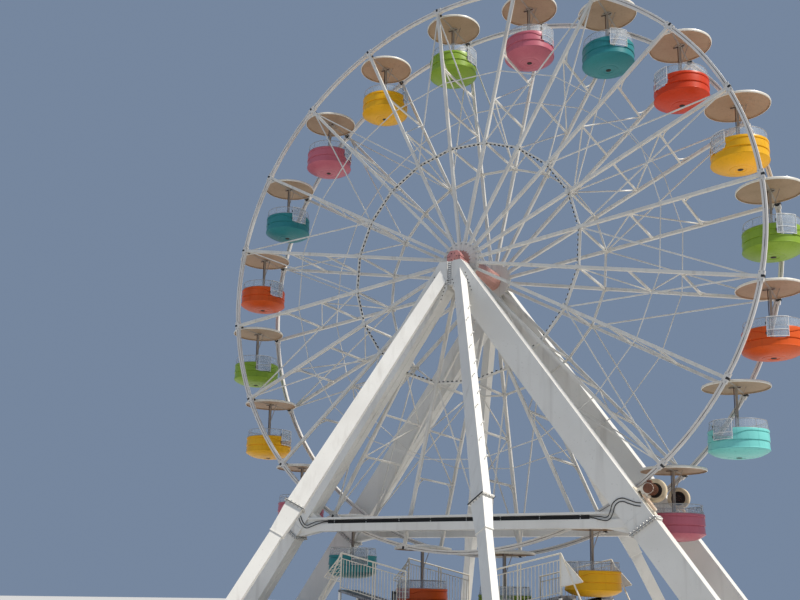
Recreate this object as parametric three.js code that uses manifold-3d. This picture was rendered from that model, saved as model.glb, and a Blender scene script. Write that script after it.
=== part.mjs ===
// A fairground ferris wheel: an open steel wheel with twenty round gondolas, carried by two A-frames
// with raking props, turned by two tyres on its rims and boarded from a low platform.
// Millimetres, +Z up. The wheel's axle runs along Y, the front faces -Y, and the origin lies on the
// ground under the middle of the axle.
import * as THREE from "three";
import { mergeVertices } from "three/addons/utils/BufferGeometryUtils.js";
import Module from "manifold-3d";

const wasm = await Module();
wasm.setup();

// Driving dimensions
const HUB_HEIGHT = 12000;
const GONDOLA_COUNT = 20;
const PITCH = (2 * Math.PI) / GONDOLA_COUNT;
const FIRST_ANGLE = THREE.MathUtils.degToRad(-132.21); // gondola 0, from the top, turning right
const PIVOT_RADIUS = 9200;
const FACE_OFFSET = 1180; // from the wheel's middle plane to the middle of each lattice face
const SEAT_GAP = 0.4; // between two pieces that rest on each other
const CORNER_TOLERANCE = 0.05;

// Wheel
const RIM_DEPTH = 140;
const RIM_WIDTH = 110;
const RIM_SEGMENTS = 2 * GONDOLA_COUNT;
const RIM_INNER_FLAT = PIVOT_RADIUS - RIM_DEPTH / 2;
const RIM_OUTER_CORNER = PIVOT_RADIUS + 80;
const NODE_PLATE = { length: 300, depth: 168, width: 126 };
const PIVOT_BOSS = { radius: 55, length: 28 };
const SPOKE = { width: 90, depth: 110, start: 420 };
const HUB = {
  drumRadius: 330, flangeRadius: 640, flangeThickness: 130, shaftRadius: 170, journalRadius: 100,
};
const MID_RING_RADIUS = 4000;
const MID_RING_BAR = 46;
const WIRE_RADIUS = 6440;
const WIRE_BAR = 26;
const DIAGONAL_BAR = 36;
const STRUT_BAR = 60;
const STRUT_RADII = [4000, 5500, 7030];
const BRACE_BAR = 32;

// Gondola, measured from its pivot
const CANOPY = { radius: 925, lip: 40, slope: 15, under: -15, edgeBottom: -60, edgeTop: 12, peak: 120 };
const AXLE_RADIUS = 36;
const POST_RADIUS = 44;
const TUB = {
  rimRadius: 808, rimTop: -1275, edgeRadius: 818, edgeHeight: -1812, shoulderRadius: 690, shoulder: -1922,
  bowlRadius: 460, bowl: -1992, bottom: -2012,
  wall: 45, seatTop: -1500, seatRadius: 480, floor: -1850, columnRadius: 80, columnTop: -1440,
  guardRadius: 766, guardTop: -1010, guardThickness: 12,
};
const DOORWAY = { width: 570, sill: -1600, corner: 120, reach: 525 };

// A-frames and props
const LEG_FACE = 1920; // front face of the front A-frame
const LEG_DEPTH = 500;
const LEG_WIDTH = 765;
const LEG_LEAN = Math.atan(0.7145);
const LEG_AXIS_OFFSET = -235; // where the two leg axes reach the hub's height, from the hub
const HEAD = { top: 11800, slot: 200, slotBottom: 11020, recess: 60, cutFrom: 9000, cutTo: 14000 };
const BEARING = {
  footHalf: 360, footHeight: 60, half: 235, shoulder: 12060, crownHalf: 130, crown: 12200,
  front: 1700, bore: 125,
};
const FLANGE = { height: 3470, thickness: 25, overhang: 60 };
const FOOT = { width: 1150, depth: 620, thickness: 60 };
const BEAM = {
  top: 3880, ledge: 65, face: 240, bottom: 3440, front: 1890, depth: 420, recess: 60,
  gusset: 170, gussetLength: 330, kneeLength: 700,
};
const CABLE_RADIUS = 28;

// Raking props: where the axis leaves the head, meets the flange and meets the ground
const PROP_TOP = new THREE.Vector3(284, -1813, 11346);
const PROP_FLANGE = new THREE.Vector3(2898, -5557, 3897);
const PROP_FOOT = new THREE.Vector3(4254, -7499, 30);
const PROP_TOE = THREE.MathUtils.degToRad(23.3); // how far a prop's front face is turned inwards
const PROP_UPPER = { topWidth: 343, width: 517, depth: 233 };
const PROP_SLEEVE = { length: 950, topWidth: 517, width: 410, topDepth: 300, depth: 240 };
const PROP_LOWER = { width: 369, depth: 214 };
const PROP_PLATE = { thickness: 25, overhang: 60, lip: 12 };
const PROP_PAD = { half: 330, thickness: 50 };

// Drive
const TYRE = { radius: 325, width: 150 };
const DRIVE_ANGLE = Math.atan2(5940, -7450);
const TYRE_CLEARANCE = 6;
const MOTOR = { radius: 150, length: 430, shaftRadius: 50, front: 1850 };
const DRIVE_BASE = {
  length: 900, width: 380, thickness: 30, saddle: 240, cheek: { offset: 130, thickness: 60, inset: 60 },
};
const SPRING = { radius: 45, length: 560, offset: 110, start: 40, lugReach: 30, lug: [60, 70] };

// Boarding platform
const DECK = {
  flat: 1250, reach: 3650, lowTop: 1050, highTop: 1620, inner: 1050, outer: 2160, plate: 70,
};
const TROUGH = { lowTop: 500, highTop: 1100, wall: 40 };
const DECK_POST = 80;
const STEPS = {
  count: 5, rise: 210, run: 280, width: 1700, plate: 40, lap: 20, stringer: 50, stringerDepth: 320,
};
const RAIL = {
  y: 2100, lowTop: 2190, highTop: 2750, second: 170, bottom: 1050, tube: 48, thin: 30, gap: 90,
};
const END_SCREEN = { reach: 640, top: 2700, low: 1990, bottom: 1850, thickness: 30 };
const RAKING_TUBE_REACH = 1180;

// Paint
const OFF_WHITE = { color: 0xdedcd6, roughness: 0.5, metalness: 0.1 };
const SHADED_WHITE = { color: 0xcfcfcb, roughness: 0.55, metalness: 0.1 };
const DARK_STEEL = { color: 0x35363a, roughness: 0.5, metalness: 0.6 };
const HUB_RED = { color: 0xb5656b, roughness: 0.5, metalness: 0.2 };
const CREAM = { color: 0xe4d8bf, roughness: 0.6, metalness: 0.0 };
const TYRE_CREAM = { color: 0xd9cba9, roughness: 0.8, metalness: 0.0 };
const DECK_GREY = { color: 0x8f9094, roughness: 0.7, metalness: 0.3 };
const TUB_COLOURS = {
  yellow: 0xf2b51d, green: 0x8cc63a, orange: 0xe8601f, teal: 0x2f9f98, pink: 0xe05a78,
  red: 0xe0452f, turquoise: 0x35b3b0,
};
const CABLE_BLACK = { color: 0x151515, roughness: 0.6, metalness: 0.0 };
const TUB_ORDER = [
  "pink", "yellow", "green", "orange", "teal", "pink", "yellow", "green", "pink", "teal",
  "red", "yellow", "green", "orange", "turquoise", "pink", "yellow", "green", "orange", "teal",
];
// Which way each doorway faces, in degrees round the gondola's own post, 0 towards the front
const DOORWAY_TURN = [
  60, 92, 58, 78, 69, 100, 107, 85, 74, 43, -35, -37, 38, 20, -19, 150, -30, 20, -20, 50,
];

// A manifold-3d solid from a three.js geometry.
function toSolid(geometry) {
  const bare = geometry.index ? geometry.toNonIndexed() : geometry.clone();
  bare.deleteAttribute("normal");
  bare.deleteAttribute("uv");
  const merged = mergeVertices(bare, 1e-3);
  return new wasm.Manifold(new wasm.Mesh({
    numProp: 3,
    vertProperties: new Float32Array(merged.attributes.position.array),
    triVerts: new Uint32Array(merged.index.array),
  }));
}

// A three.js geometry from a manifold-3d solid. Corners that nearly coincide become one, and triangles
// that this closes are dropped.
function toGeometry(solid) {
  const mesh = solid.getMesh();
  const geometry = new THREE.BufferGeometry();
  geometry.setAttribute("position", new THREE.BufferAttribute(new Float32Array(mesh.vertProperties), 3));
  geometry.setIndex(new THREE.BufferAttribute(new Uint32Array(mesh.triVerts), 1));
  const merged = mergeVertices(geometry, CORNER_TOLERANCE);
  const corners = [];
  for (let i = 0; i < merged.index.count; i += 3) {
    const triangle = [0, 1, 2].map((j) => merged.index.getX(i + j));
    if (new Set(triangle).size === 3) {
      corners.push(...triangle);
    }
  }
  merged.setIndex(corners);
  merged.computeVertexNormals();
  return merged;
}

// All the geometries joined into one.
function join(geometries) {
  return toGeometry(geometries.map(toSolid).reduce((whole, piece) => whole.add(piece)));
}

// The first geometry with the others cut out of it.
function cut(geometry, tools) {
  return toGeometry(tools.map(toSolid).reduce((rest, tool) => rest.subtract(tool), toSolid(geometry)));
}

// A straight bar between two points, `depth` measured along `side` and `width` across it. A bar given
// an end size tapers to it.
function bar(from, to, width, depth, side = new THREE.Vector3(0, 1, 0), endWidth = width, endDepth = depth) {
  const along = to.clone().sub(from);
  const geometry = new THREE.BoxGeometry(width, depth, along.length());
  const corners = geometry.attributes.position;
  for (let i = 0; i < corners.count; i += 1) {
    if (corners.getZ(i) > 0) {
      corners.setX(i, (corners.getX(i) * endWidth) / width);
      corners.setY(i, (corners.getY(i) * endDepth) / depth);
    }
  }
  const zAxis = along.normalize();
  const xAxis = side.clone().cross(zAxis).normalize();
  const yAxis = zAxis.clone().cross(xAxis);
  const place = new THREE.Matrix4().makeBasis(xAxis, yAxis, zAxis);
  place.setPosition(from.clone().add(to).multiplyScalar(0.5));
  return geometry.applyMatrix4(place);
}

// A box given by the corners of its extent.
function block(minX, maxX, minY, maxY, minZ, maxZ) {
  const geometry = new THREE.BoxGeometry(maxX - minX, maxY - minY, maxZ - minZ);
  return geometry.translate((minX + maxX) / 2, (minY + maxY) / 2, (minZ + maxZ) / 2);
}

// A round bar along Y between two places.
function roundAlongY(radius, fromY, toY, segments) {
  const geometry = new THREE.CylinderGeometry(radius, radius, Math.abs(toY - fromY), segments);
  return geometry.translate(0, (fromY + toY) / 2, 0);
}

// An outline in the X-Z plane, given as [x, z] points, made solid between two places along Y.
function plateAlongY(points, fromY, toY) {
  const outline = new THREE.Shape(points.map(([x, z]) => new THREE.Vector2(x, z)));
  const geometry = new THREE.ExtrudeGeometry(outline, { depth: Math.abs(toY - fromY), bevelEnabled: false });
  return geometry.rotateX(Math.PI / 2).translate(0, Math.max(fromY, toY), 0);
}

// A symmetric outline from the points of its right half, listed from the bottom upwards.
function mirrored(points) {
  return [...points, ...points.map(([x, z]) => [-x, z]).reverse()];
}

// A body of revolution about Z from [radius, height] points that start and end on the axis.
function turned(points, segments) {
  const profile = points.map(([radius, height]) => new THREE.Vector2(radius, height));
  return new THREE.LatheGeometry(profile, segments).rotateX(Math.PI / 2);
}

// A ring about Y with a rectangular section.
function ringAboutY(innerRadius, outerRadius, fromY, toY, segments) {
  const profile = [
    new THREE.Vector2(innerRadius, fromY), new THREE.Vector2(outerRadius, fromY),
    new THREE.Vector2(outerRadius, toY), new THREE.Vector2(innerRadius, toY),
    new THREE.Vector2(innerRadius, fromY),
  ];
  return new THREE.LatheGeometry(profile, segments);
}

// The wheel's angle at gondola k.
function gondolaAngle(k) {
  return FIRST_ANGLE + k * PITCH;
}

// A point of the wheel at a radius and an angle from the top, at a distance along the axle.
function onWheel(radius, angle, y) {
  return new THREE.Vector3(radius * Math.sin(angle), y, radius * Math.cos(angle));
}

// One named piece of the model.
function piece(name, geometry, look) {
  const mesh = new THREE.Mesh(geometry, new THREE.MeshStandardMaterial(look));
  mesh.name = name;
  return mesh;
}

// Rim: a round steel box, with a plate and a pivot boss at each gondola.
function rimGeometry(side) {
  const middle = side * FACE_OFFSET;
  const inner = RIM_INNER_FLAT / Math.cos(Math.PI / RIM_SEGMENTS);
  const ring = ringAboutY(
    inner, RIM_OUTER_CORNER, middle - RIM_WIDTH / 2, middle + RIM_WIDTH / 2, RIM_SEGMENTS,
  );
  ring.rotateY(FIRST_ANGLE + Math.PI / RIM_SEGMENTS);
  const parts = [ring];
  for (let k = 0; k < GONDOLA_COUNT; k += 1) {
    const angle = gondolaAngle(k);
    const plate = new THREE.BoxGeometry(NODE_PLATE.length, NODE_PLATE.width, NODE_PLATE.depth);
    plate.translate(0, middle, PIVOT_RADIUS).rotateY(angle);
    const inwards = middle - side * (NODE_PLATE.width / 2 - 10);
    const bossEnd = middle - side * (NODE_PLATE.width / 2 + PIVOT_BOSS.length);
    const boss = roundAlongY(PIVOT_BOSS.radius, Math.min(inwards, bossEnd), Math.max(inwards, bossEnd), 6);
    boss.translate(0, 0, PIVOT_RADIUS).rotateY(angle);
    parts.push(plate, boss);
  }
  return join(parts);
}

// Lattice face: box spokes on a hub ring, the mid ring, the wires and the thin diagonals.
function latticeGeometry(side) {
  const y = side * FACE_OFFSET;
  const halfFlange = HUB.flangeThickness / 2;
  const spokeEnd = PIVOT_RADIUS - NODE_PLATE.depth / 2 - SEAT_GAP;
  const parts = [ringAboutY(HUB.drumRadius + SEAT_GAP, HUB.flangeRadius, y - halfFlange, y + halfFlange, 20)];
  for (let k = 0; k < GONDOLA_COUNT; k += 1) {
    const angle = gondolaAngle(k);
    const next = gondolaAngle(k + 1);
    parts.push(bar(onWheel(SPOKE.start, angle, y), onWheel(spokeEnd, angle, y), SPOKE.width, SPOKE.depth));
    parts.push(bar(
      onWheel(MID_RING_RADIUS, angle, y), onWheel(MID_RING_RADIUS, next, y), MID_RING_BAR, MID_RING_BAR,
    ));
    parts.push(bar(onWheel(WIRE_RADIUS, angle, y), onWheel(WIRE_RADIUS, next, y), WIRE_BAR, WIRE_BAR));
    if (k % 2 === 1) {
      for (const step of [-1, 1]) {
        const foot = gondolaAngle(k + step);
        parts.push(bar(
          onWheel(spokeEnd - 60, angle, y), onWheel(MID_RING_RADIUS, foot, y), DIAGONAL_BAR, DIAGONAL_BAR,
        ));
      }
    }
  }
  return join(parts);
}

// Cross struts between the two faces, braced to each other and to an inner ring behind each mid ring.
function strutGeometry() {
  const reach = FACE_OFFSET - SPOKE.depth / 2 - SEAT_GAP;
  const ringY = reach - STRUT_BAR / 2;
  const parts = [];
  for (let k = 0; k < GONDOLA_COUNT; k += 1) {
    const angle = gondolaAngle(k);
    const next = gondolaAngle(k + 1);
    const acrossWheel = onWheel(1, angle + Math.PI / 2, 0);
    for (const radius of STRUT_RADII) {
      parts.push(bar(
        onWheel(radius, angle, -reach), onWheel(radius, angle, reach), STRUT_BAR, STRUT_BAR, acrossWheel,
      ));
    }
    for (let i = 1; i < STRUT_RADII.length; i += 1) {
      const side = (i + k) % 2 === 0 ? 1 : -1;
      parts.push(bar(
        onWheel(STRUT_RADII[i - 1], angle, -side * ringY), onWheel(STRUT_RADII[i], angle, side * ringY),
        BRACE_BAR, BRACE_BAR, acrossWheel,
      ));
    }
    for (const side of [-1, 1]) {
      parts.push(bar(
        onWheel(STRUT_RADII[0], angle, side * ringY), onWheel(STRUT_RADII[0], next, side * ringY),
        BRACE_BAR, BRACE_BAR,
      ));
    }
  }
  return join(parts);
}

// Hub: the drum between the two lattice faces, the shaft up to the bearings and its journals inside them.
function hubGeometry() {
  const drumEnd = FACE_OFFSET + HUB.flangeThickness / 2 + 20;
  const shaftEnd = LEG_FACE - LEG_DEPTH - SEAT_GAP;
  return join([
    roundAlongY(HUB.drumRadius, -drumEnd, drumEnd, 20),
    roundAlongY(HUB.shaftRadius, -shaftEnd, shaftEnd, 16),
    roundAlongY(HUB.journalRadius, -BEARING.front, BEARING.front, 16),
  ]);
}

// Canopy, pivot tube and post of one gondola.
function hangerGeometry() {
  const axleEnd = FACE_OFFSET - NODE_PLATE.width / 2 - PIVOT_BOSS.length - SEAT_GAP;
  const canopy = turned([
    [0, CANOPY.under], [CANOPY.radius - CANOPY.lip - CANOPY.slope, CANOPY.under],
    [CANOPY.radius - CANOPY.lip, CANOPY.edgeBottom],
    [CANOPY.radius, CANOPY.edgeBottom], [CANOPY.radius, CANOPY.edgeTop], [0, CANOPY.peak],
  ], 12);
  const postLength = CANOPY.under - TUB.columnTop - SEAT_GAP;
  const post = new THREE.CylinderGeometry(POST_RADIUS, POST_RADIUS, postLength + 10, 6).rotateX(Math.PI / 2);
  post.translate(0, 0, CANOPY.under + 10 - (postLength + 10) / 2);
  return join([canopy, roundAlongY(AXLE_RADIUS, -axleEnd, axleEnd, 6), post]);
}

// Round tub of one gondola, with its ring bench, middle column, the guard above its edge and the
// rounded doorway under the guard.
function tubGeometry() {
  const tub = turned([
    [0, TUB.bottom], [TUB.bowlRadius, TUB.bowl], [TUB.shoulderRadius, TUB.shoulder],
    [TUB.edgeRadius, TUB.edgeHeight], [TUB.rimRadius, TUB.rimTop], [TUB.guardRadius, TUB.guardTop],
    [TUB.guardRadius - TUB.guardThickness, TUB.guardTop],
    [TUB.edgeRadius - TUB.wall, TUB.seatTop], [TUB.seatRadius, TUB.seatTop], [TUB.seatRadius, TUB.floor],
    [TUB.columnRadius, TUB.floor], [TUB.columnRadius, TUB.columnTop], [0, TUB.columnTop],
  ], 12);
  const half = DOORWAY.width / 2;
  const { corner, sill, reach } = DOORWAY;
  const doorway = plateAlongY(mirrored([
    [half - corner, sill], [half - corner * 0.3, sill + corner * 0.3], [half, sill + corner],
    [half, TUB.rimTop + SEAT_GAP],
  ]), -TUB.rimRadius - 60, -TUB.rimRadius - 60 + reach);
  return cut(tub, [doorway]);
}

// A-frame: two leaning box legs with flanges and feet that meet at the slotted head, and the bearing
// block on top of it.
function aFrameGeometry(side) {
  const y = side * (LEG_FACE - LEG_DEPTH / 2);
  const inner = side * (LEG_FACE - LEG_DEPTH);
  const parts = [];
  for (const left of [-1, 1]) {
    const axis = new THREE.Vector3(left * Math.sin(LEG_LEAN), 0, -Math.cos(LEG_LEAN));
    const start = new THREE.Vector3(left * LEG_AXIS_OFFSET, y, HUB_HEIGHT);
    const length = HUB_HEIGHT / Math.cos(LEG_LEAN);
    const foot = start.clone().addScaledVector(axis, length);
    const leg = bar(start, foot.clone().addScaledVector(axis, LEG_WIDTH / 2), LEG_WIDTH, LEG_DEPTH);
    const slotEdge = left * (HEAD.slot / 2);
    const beyond = -left * LEG_WIDTH * 2;
    parts.push(cut(leg, [
      block(
        Math.min(slotEdge, beyond), Math.max(slotEdge, beyond), y - LEG_DEPTH, y + LEG_DEPTH,
        HEAD.cutFrom, HEAD.cutTo,
      ),
      block(-LEG_WIDTH * 2, LEG_WIDTH * 2, y - LEG_DEPTH, y + LEG_DEPTH, HEAD.top, HEAD.cutTo),
    ]));
    const flange = start.clone().addScaledVector(axis, (HUB_HEIGHT - FLANGE.height) / Math.cos(LEG_LEAN));
    parts.push(bar(
      flange.clone().addScaledVector(axis, -FLANGE.thickness),
      flange.clone().addScaledVector(axis, FLANGE.thickness),
      LEG_WIDTH + 2 * FLANGE.overhang, LEG_DEPTH + 2 * FLANGE.overhang,
    ));
    parts.push(block(
      foot.x - FOOT.width / 2, foot.x + FOOT.width / 2, y - FOOT.depth / 2, y + FOOT.depth / 2,
      0, FOOT.thickness,
    ));
  }
  const slotHalf = HEAD.slot / 2 + 5;
  const recessed = LEG_DEPTH / 2 - HEAD.recess;
  parts.push(block(-slotHalf, slotHalf, y - recessed, y + recessed, HEAD.slotBottom, HEAD.top));
  const front = side * BEARING.front;
  parts.push(plateAlongY(mirrored([
    [BEARING.footHalf, HEAD.top - 10], [BEARING.footHalf, HEAD.top + BEARING.footHeight],
    [BEARING.half, HEAD.top + BEARING.footHeight], [BEARING.half, BEARING.shoulder],
    [BEARING.crownHalf, BEARING.crown],
  ]), inner, front));
  const ground = block(-12000, 12000, -4000, 4000, -2000, 0);
  const bore = roundAlongY(BEARING.bore, -LEG_FACE, LEG_FACE, 16).translate(0, 0, HUB_HEIGHT);
  return cut(join(parts), [ground, bore]);
}

// One telescopic raking prop: the upper box that widens downwards, its flange, the tapering sleeve, the
// narrower lower box and the pad it stands on.
function propGeometry(left, side) {
  const mirror = (point) => new THREE.Vector3(left * point.x, -side * point.y, point.z);
  const top = mirror(PROP_TOP);
  const middle = mirror(PROP_FLANGE);
  const foot = mirror(PROP_FOOT);
  const direction = foot.clone().sub(top).normalize();
  const facing = new THREE.Vector3(-left * Math.sin(PROP_TOE), side * Math.cos(PROP_TOE), 0);
  const along = (start, distance) => start.clone().addScaledVector(direction, distance);
  const collar = along(middle, PROP_SLEEVE.length);
  const { thickness, overhang, lip } = PROP_PLATE;
  const whole = join([
    bar(along(top, -150), middle, PROP_UPPER.topWidth, PROP_UPPER.depth, facing, PROP_UPPER.width),
    bar(
      along(middle, -thickness), along(middle, thickness),
      PROP_UPPER.width + 2 * overhang, PROP_UPPER.depth + 2 * overhang, facing,
    ),
    bar(
      middle, collar, PROP_SLEEVE.topWidth, PROP_SLEEVE.topDepth, facing,
    PROP_SLEEVE.width, PROP_SLEEVE.depth,
    ),
    bar(
      along(collar, -thickness / 2), along(collar, thickness / 2),
      PROP_SLEEVE.width + 2 * lip, PROP_SLEEVE.depth + 2 * lip, facing,
    ),
    bar(middle, along(foot, PROP_LOWER.width / 2), PROP_LOWER.width, PROP_LOWER.depth, facing),
    block(
      foot.x - PROP_PAD.half, foot.x + PROP_PAD.half, foot.y - PROP_PAD.half, foot.y + PROP_PAD.half,
      0, PROP_PAD.thickness,
    ),
  ]);
  const ground = block(-12000, 12000, -12000, 12000, -2000, 0);
  const headFace = LEG_FACE + SEAT_GAP;
  return cut(whole, [ground, block(-2000, 2000, -headFace, headFace, 10000, 13000)]);
}

// Where a leg's inner side stands at a height, less the gap that a piece resting on it keeps.
function legInner(height) {
  return (HUB_HEIGHT - height) * Math.tan(LEG_LEAN) + LEG_AXIS_OFFSET
    - LEG_WIDTH / 2 / Math.cos(LEG_LEAN) - SEAT_GAP;
}

// Cross beam between the legs of one A-frame: a web that flares to a gusset at either end, a face plate
// along the bottom and a ledge along the top.
function beamGeometry(side) {
  const front = side * BEAM.front;
  const back = side * (BEAM.front - BEAM.depth);
  const webFront = side * (BEAM.front - BEAM.recess);
  const webBack = side * (BEAM.front - BEAM.depth + BEAM.recess);
  const { top, bottom, face, ledge, gusset, gussetLength, kneeLength } = BEAM;
  const web = plateAlongY(mirrored([
    [legInner(bottom) - kneeLength, bottom], [legInner(bottom - gusset), bottom - gusset],
    [legInner(top + gusset), top + gusset], [legInner(top) - gussetLength, top],
  ]), webFront, webBack);
  const lower = plateAlongY(mirrored([
    [legInner(bottom), bottom], [legInner(bottom + face), bottom + face],
  ]), front, back);
  const upper = plateAlongY(mirrored([
    [legInner(top - ledge), top - ledge], [legInner(top), top],
  ]), front, back);
  return join([web, lower, upper]);
}

// The cable pair, drawn as one tube, that lies in the front beam's recess and loops over both legs.
function cableGeometry() {
  const onLeg = -(LEG_FACE + CABLE_RADIUS + SEAT_GAP);
  const inRecess = -(BEAM.front - BEAM.recess + CABLE_RADIUS + 2 * SEAT_GAP);
  const route = new THREE.CatmullRomCurve3([
    new THREE.Vector3(-5510, onLeg, 4090), new THREE.Vector3(-5420, onLeg, 3900),
    new THREE.Vector3(-5290, onLeg, 3680), new THREE.Vector3(-5130, onLeg, 3590),
    new THREE.Vector3(-4930, onLeg, 3640), new THREE.Vector3(-4700, onLeg + 20, 3710),
    new THREE.Vector3(-4450, inRecess - 3, 3748), new THREE.Vector3(-4350, inRecess - 1, 3749),
    new THREE.Vector3(-4200, inRecess, 3750),
    new THREE.Vector3(-3000, inRecess, 3757),
    new THREE.Vector3(-1500, inRecess, 3742), new THREE.Vector3(0, inRecess, 3757),
    new THREE.Vector3(1500, inRecess, 3742), new THREE.Vector3(3000, inRecess, 3757),
    new THREE.Vector3(4200, inRecess, 3750), new THREE.Vector3(4350, inRecess - 1, 3749),
    new THREE.Vector3(4450, inRecess - 3, 3748),
    new THREE.Vector3(4700, onLeg + 20, 3700),
    new THREE.Vector3(4910, onLeg, 3690), new THREE.Vector3(5010, onLeg, 3840),
    new THREE.Vector3(5100, onLeg, 4080), new THREE.Vector3(5290, onLeg, 4180),
    new THREE.Vector3(5500, onLeg, 4120), new THREE.Vector3(5680, onLeg, 4060),
    new THREE.Vector3(5820, onLeg, 4040),
  ], false, "centripetal");
  const section = new THREE.Shape();
  section.absarc(0, 0, CABLE_RADIUS, 0, 2 * Math.PI);
  return new THREE.ExtrudeGeometry(section, { steps: 60, curveSegments: 4, extrudePath: route });
}

// Drive unit: a base plate on the leg's outer side, the gear motor on a saddle over it, the stub shaft
// that carries the tyre and the spring that presses it on the rim.
function driveUnitGeometry(side) {
  const centre = tyreCentre(side);
  const outwards = new THREE.Vector3(Math.cos(LEG_LEAN), 0, Math.sin(LEG_LEAN));
  const down = new THREE.Vector3(Math.sin(LEG_LEAN), 0, -Math.cos(LEG_LEAN));
  const legTop = new THREE.Vector3(LEG_AXIS_OFFSET, 0, HUB_HEIGHT);
  const offset = centre.clone().setY(0).sub(legTop).dot(outwards);
  const seat = LEG_WIDTH / 2 + SEAT_GAP;
  const foot = centre.clone().addScaledVector(outwards, seat - offset);
  const at = (slide, lift, y) => (
    foot.clone().addScaledVector(down, slide).addScaledVector(outwards, lift).setY(y)
  );
  const y = side * (LEG_FACE - LEG_DEPTH / 2);
  const half = DRIVE_BASE.length / 2;
  const lift = offset - seat;
  const shaftEnd = side * (FACE_OFFSET + TYRE.width / 2 + SEAT_GAP);
  const motorFront = side * MOTOR.front;
  const motor = roundAlongY(MOTOR.radius, motorFront, motorFront - side * MOTOR.length, 12);
  const shaft = roundAlongY(MOTOR.shaftRadius, motorFront, shaftEnd, 10);
  for (const round of [motor, shaft]) {
    round.translate(centre.x, 0, centre.z);
  }
  const springY = side * (MOTOR.front - SPRING.radius);
  const spring = new THREE.CylinderGeometry(SPRING.radius, SPRING.radius, SPRING.length, 8);
  spring.rotateX(Math.PI / 2).rotateY(-LEG_LEAN);
  const springMiddle = at(SPRING.length / 2 + SPRING.start, SPRING.offset, springY);
  spring.translate(springMiddle.x, springMiddle.y, springMiddle.z);
  const lug = at(SPRING.length, 0, springY);
  const plateLift = DRIVE_BASE.thickness / 2;
  const { cheek, saddle } = DRIVE_BASE;
  const depth = DRIVE_BASE.width - cheek.inset;
  return join([
    bar(at(-half * 0.6, plateLift, y), at(half * 1.4, plateLift, y), DRIVE_BASE.thickness, DRIVE_BASE.width),
    bar(at(-cheek.offset, 0, y), at(-cheek.offset, lift, y), cheek.thickness, depth),
    bar(at(cheek.offset, 0, y), at(cheek.offset, lift * 0.6, y), cheek.thickness, depth),
    bar(at(0, lift * 0.35, y), at(0, lift, y), saddle, depth),
    motor, shaft, spring,
    bar(lug, lug.clone().addScaledVector(outwards, SPRING.offset + SPRING.lugReach), ...SPRING.lug),
  ]);
}

// Where a drive tyre turns: just outside its rim.
function tyreCentre(side) {
  const rolling = Math.hypot(PIVOT_RADIUS + NODE_PLATE.depth / 2, NODE_PLATE.length / 2) + TYRE_CLEARANCE;
  const centre = onWheel(rolling + TYRE.radius, DRIVE_ANGLE, side * FACE_OFFSET);
  centre.z += HUB_HEIGHT;
  return centre;
}

// Drive tyre that turns the rim.
function tyreGeometry() {
  return roundAlongY(TYRE.radius, -TYRE.width / 2, TYRE.width / 2, 20);
}

// Boarding platform: the decks in front and behind that climb to both ends, the lower trough that the
// gondolas pass over, the steps, the railings and the screens at their outer ends.
function platformGeometry() {
  const climb = (low, high, drop) => mirrored([
    [DECK.flat, low - drop], [DECK.reach, high - drop], [DECK.reach, high], [DECK.flat, low],
  ]);
  const wall = DECK.inner + TROUGH.wall;
  const parts = [plateAlongY(climb(TROUGH.lowTop, TROUGH.highTop, DECK.plate), -wall, wall)];
  for (const side of [-1, 1]) {
    parts.push(plateAlongY(
      climb(DECK.lowTop, DECK.highTop, DECK.plate), side * DECK.inner, side * DECK.outer,
    ));
    parts.push(plateAlongY(mirrored([
      [DECK.flat, TROUGH.lowTop - DECK.plate], [DECK.reach, TROUGH.highTop - DECK.plate],
      [DECK.reach, DECK.highTop], [DECK.flat, DECK.lowTop],
    ]), side * DECK.inner, side * wall));
    for (const left of [-1, 1]) {
      for (const share of [0, 0.5, 1]) {
        const top = THREE.MathUtils.lerp(DECK.lowTop, DECK.highTop, share);
        const x = left * (DECK.flat + share * (DECK.reach - DECK.flat - DECK_POST));
        for (const y of [side * (DECK.inner + DECK_POST / 2), side * (DECK.outer - DECK_POST / 2)]) {
          parts.push(block(
            Math.min(x, x + left * DECK_POST), Math.max(x, x + left * DECK_POST),
            y - DECK_POST / 2, y + DECK_POST / 2, 0, top - DECK.plate / 2,
          ));
        }
      }
      parts.push(...railingPanel(left, side));
    }
  }
  parts.push(...stepParts());
  return join(parts);
}

// The steps up to the middle of the front deck, between two stringers.
function stepParts() {
  const half = STEPS.width / 2;
  const parts = [];
  for (let i = 1; i < STEPS.count; i += 1) {
    const top = DECK.lowTop - i * STEPS.rise;
    const back = -DECK.outer - (i - 1) * STEPS.run;
    parts.push(block(
      -half, half, back - STEPS.run - STEPS.lap, back + STEPS.lap, top - STEPS.plate, top,
    ));
  }
  const under = -DECK.outer + STEPS.lap;
  const toe = -DECK.outer - STEPS.count * STEPS.run;
  for (const left of [-1, 1]) {
    const outline = new THREE.Shape([
      new THREE.Vector2(under, DECK.lowTop - 10), new THREE.Vector2(under, DECK.lowTop - STEPS.stringerDepth),
      new THREE.Vector2(toe + STEPS.stringerDepth, 0), new THREE.Vector2(toe - 40, 0),
      new THREE.Vector2(toe - 40, 60),
    ]);
    const stringer = new THREE.ExtrudeGeometry(outline, { depth: STEPS.stringer, bevelEnabled: false });
    stringer.applyMatrix4(new THREE.Matrix4().makeBasis(
      new THREE.Vector3(0, 1, 0), new THREE.Vector3(0, 0, 1), new THREE.Vector3(1, 0, 0),
    ));
    parts.push(stringer.translate(left * half - STEPS.stringer / 2, 0, 0));
  }
  return parts;
}

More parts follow.
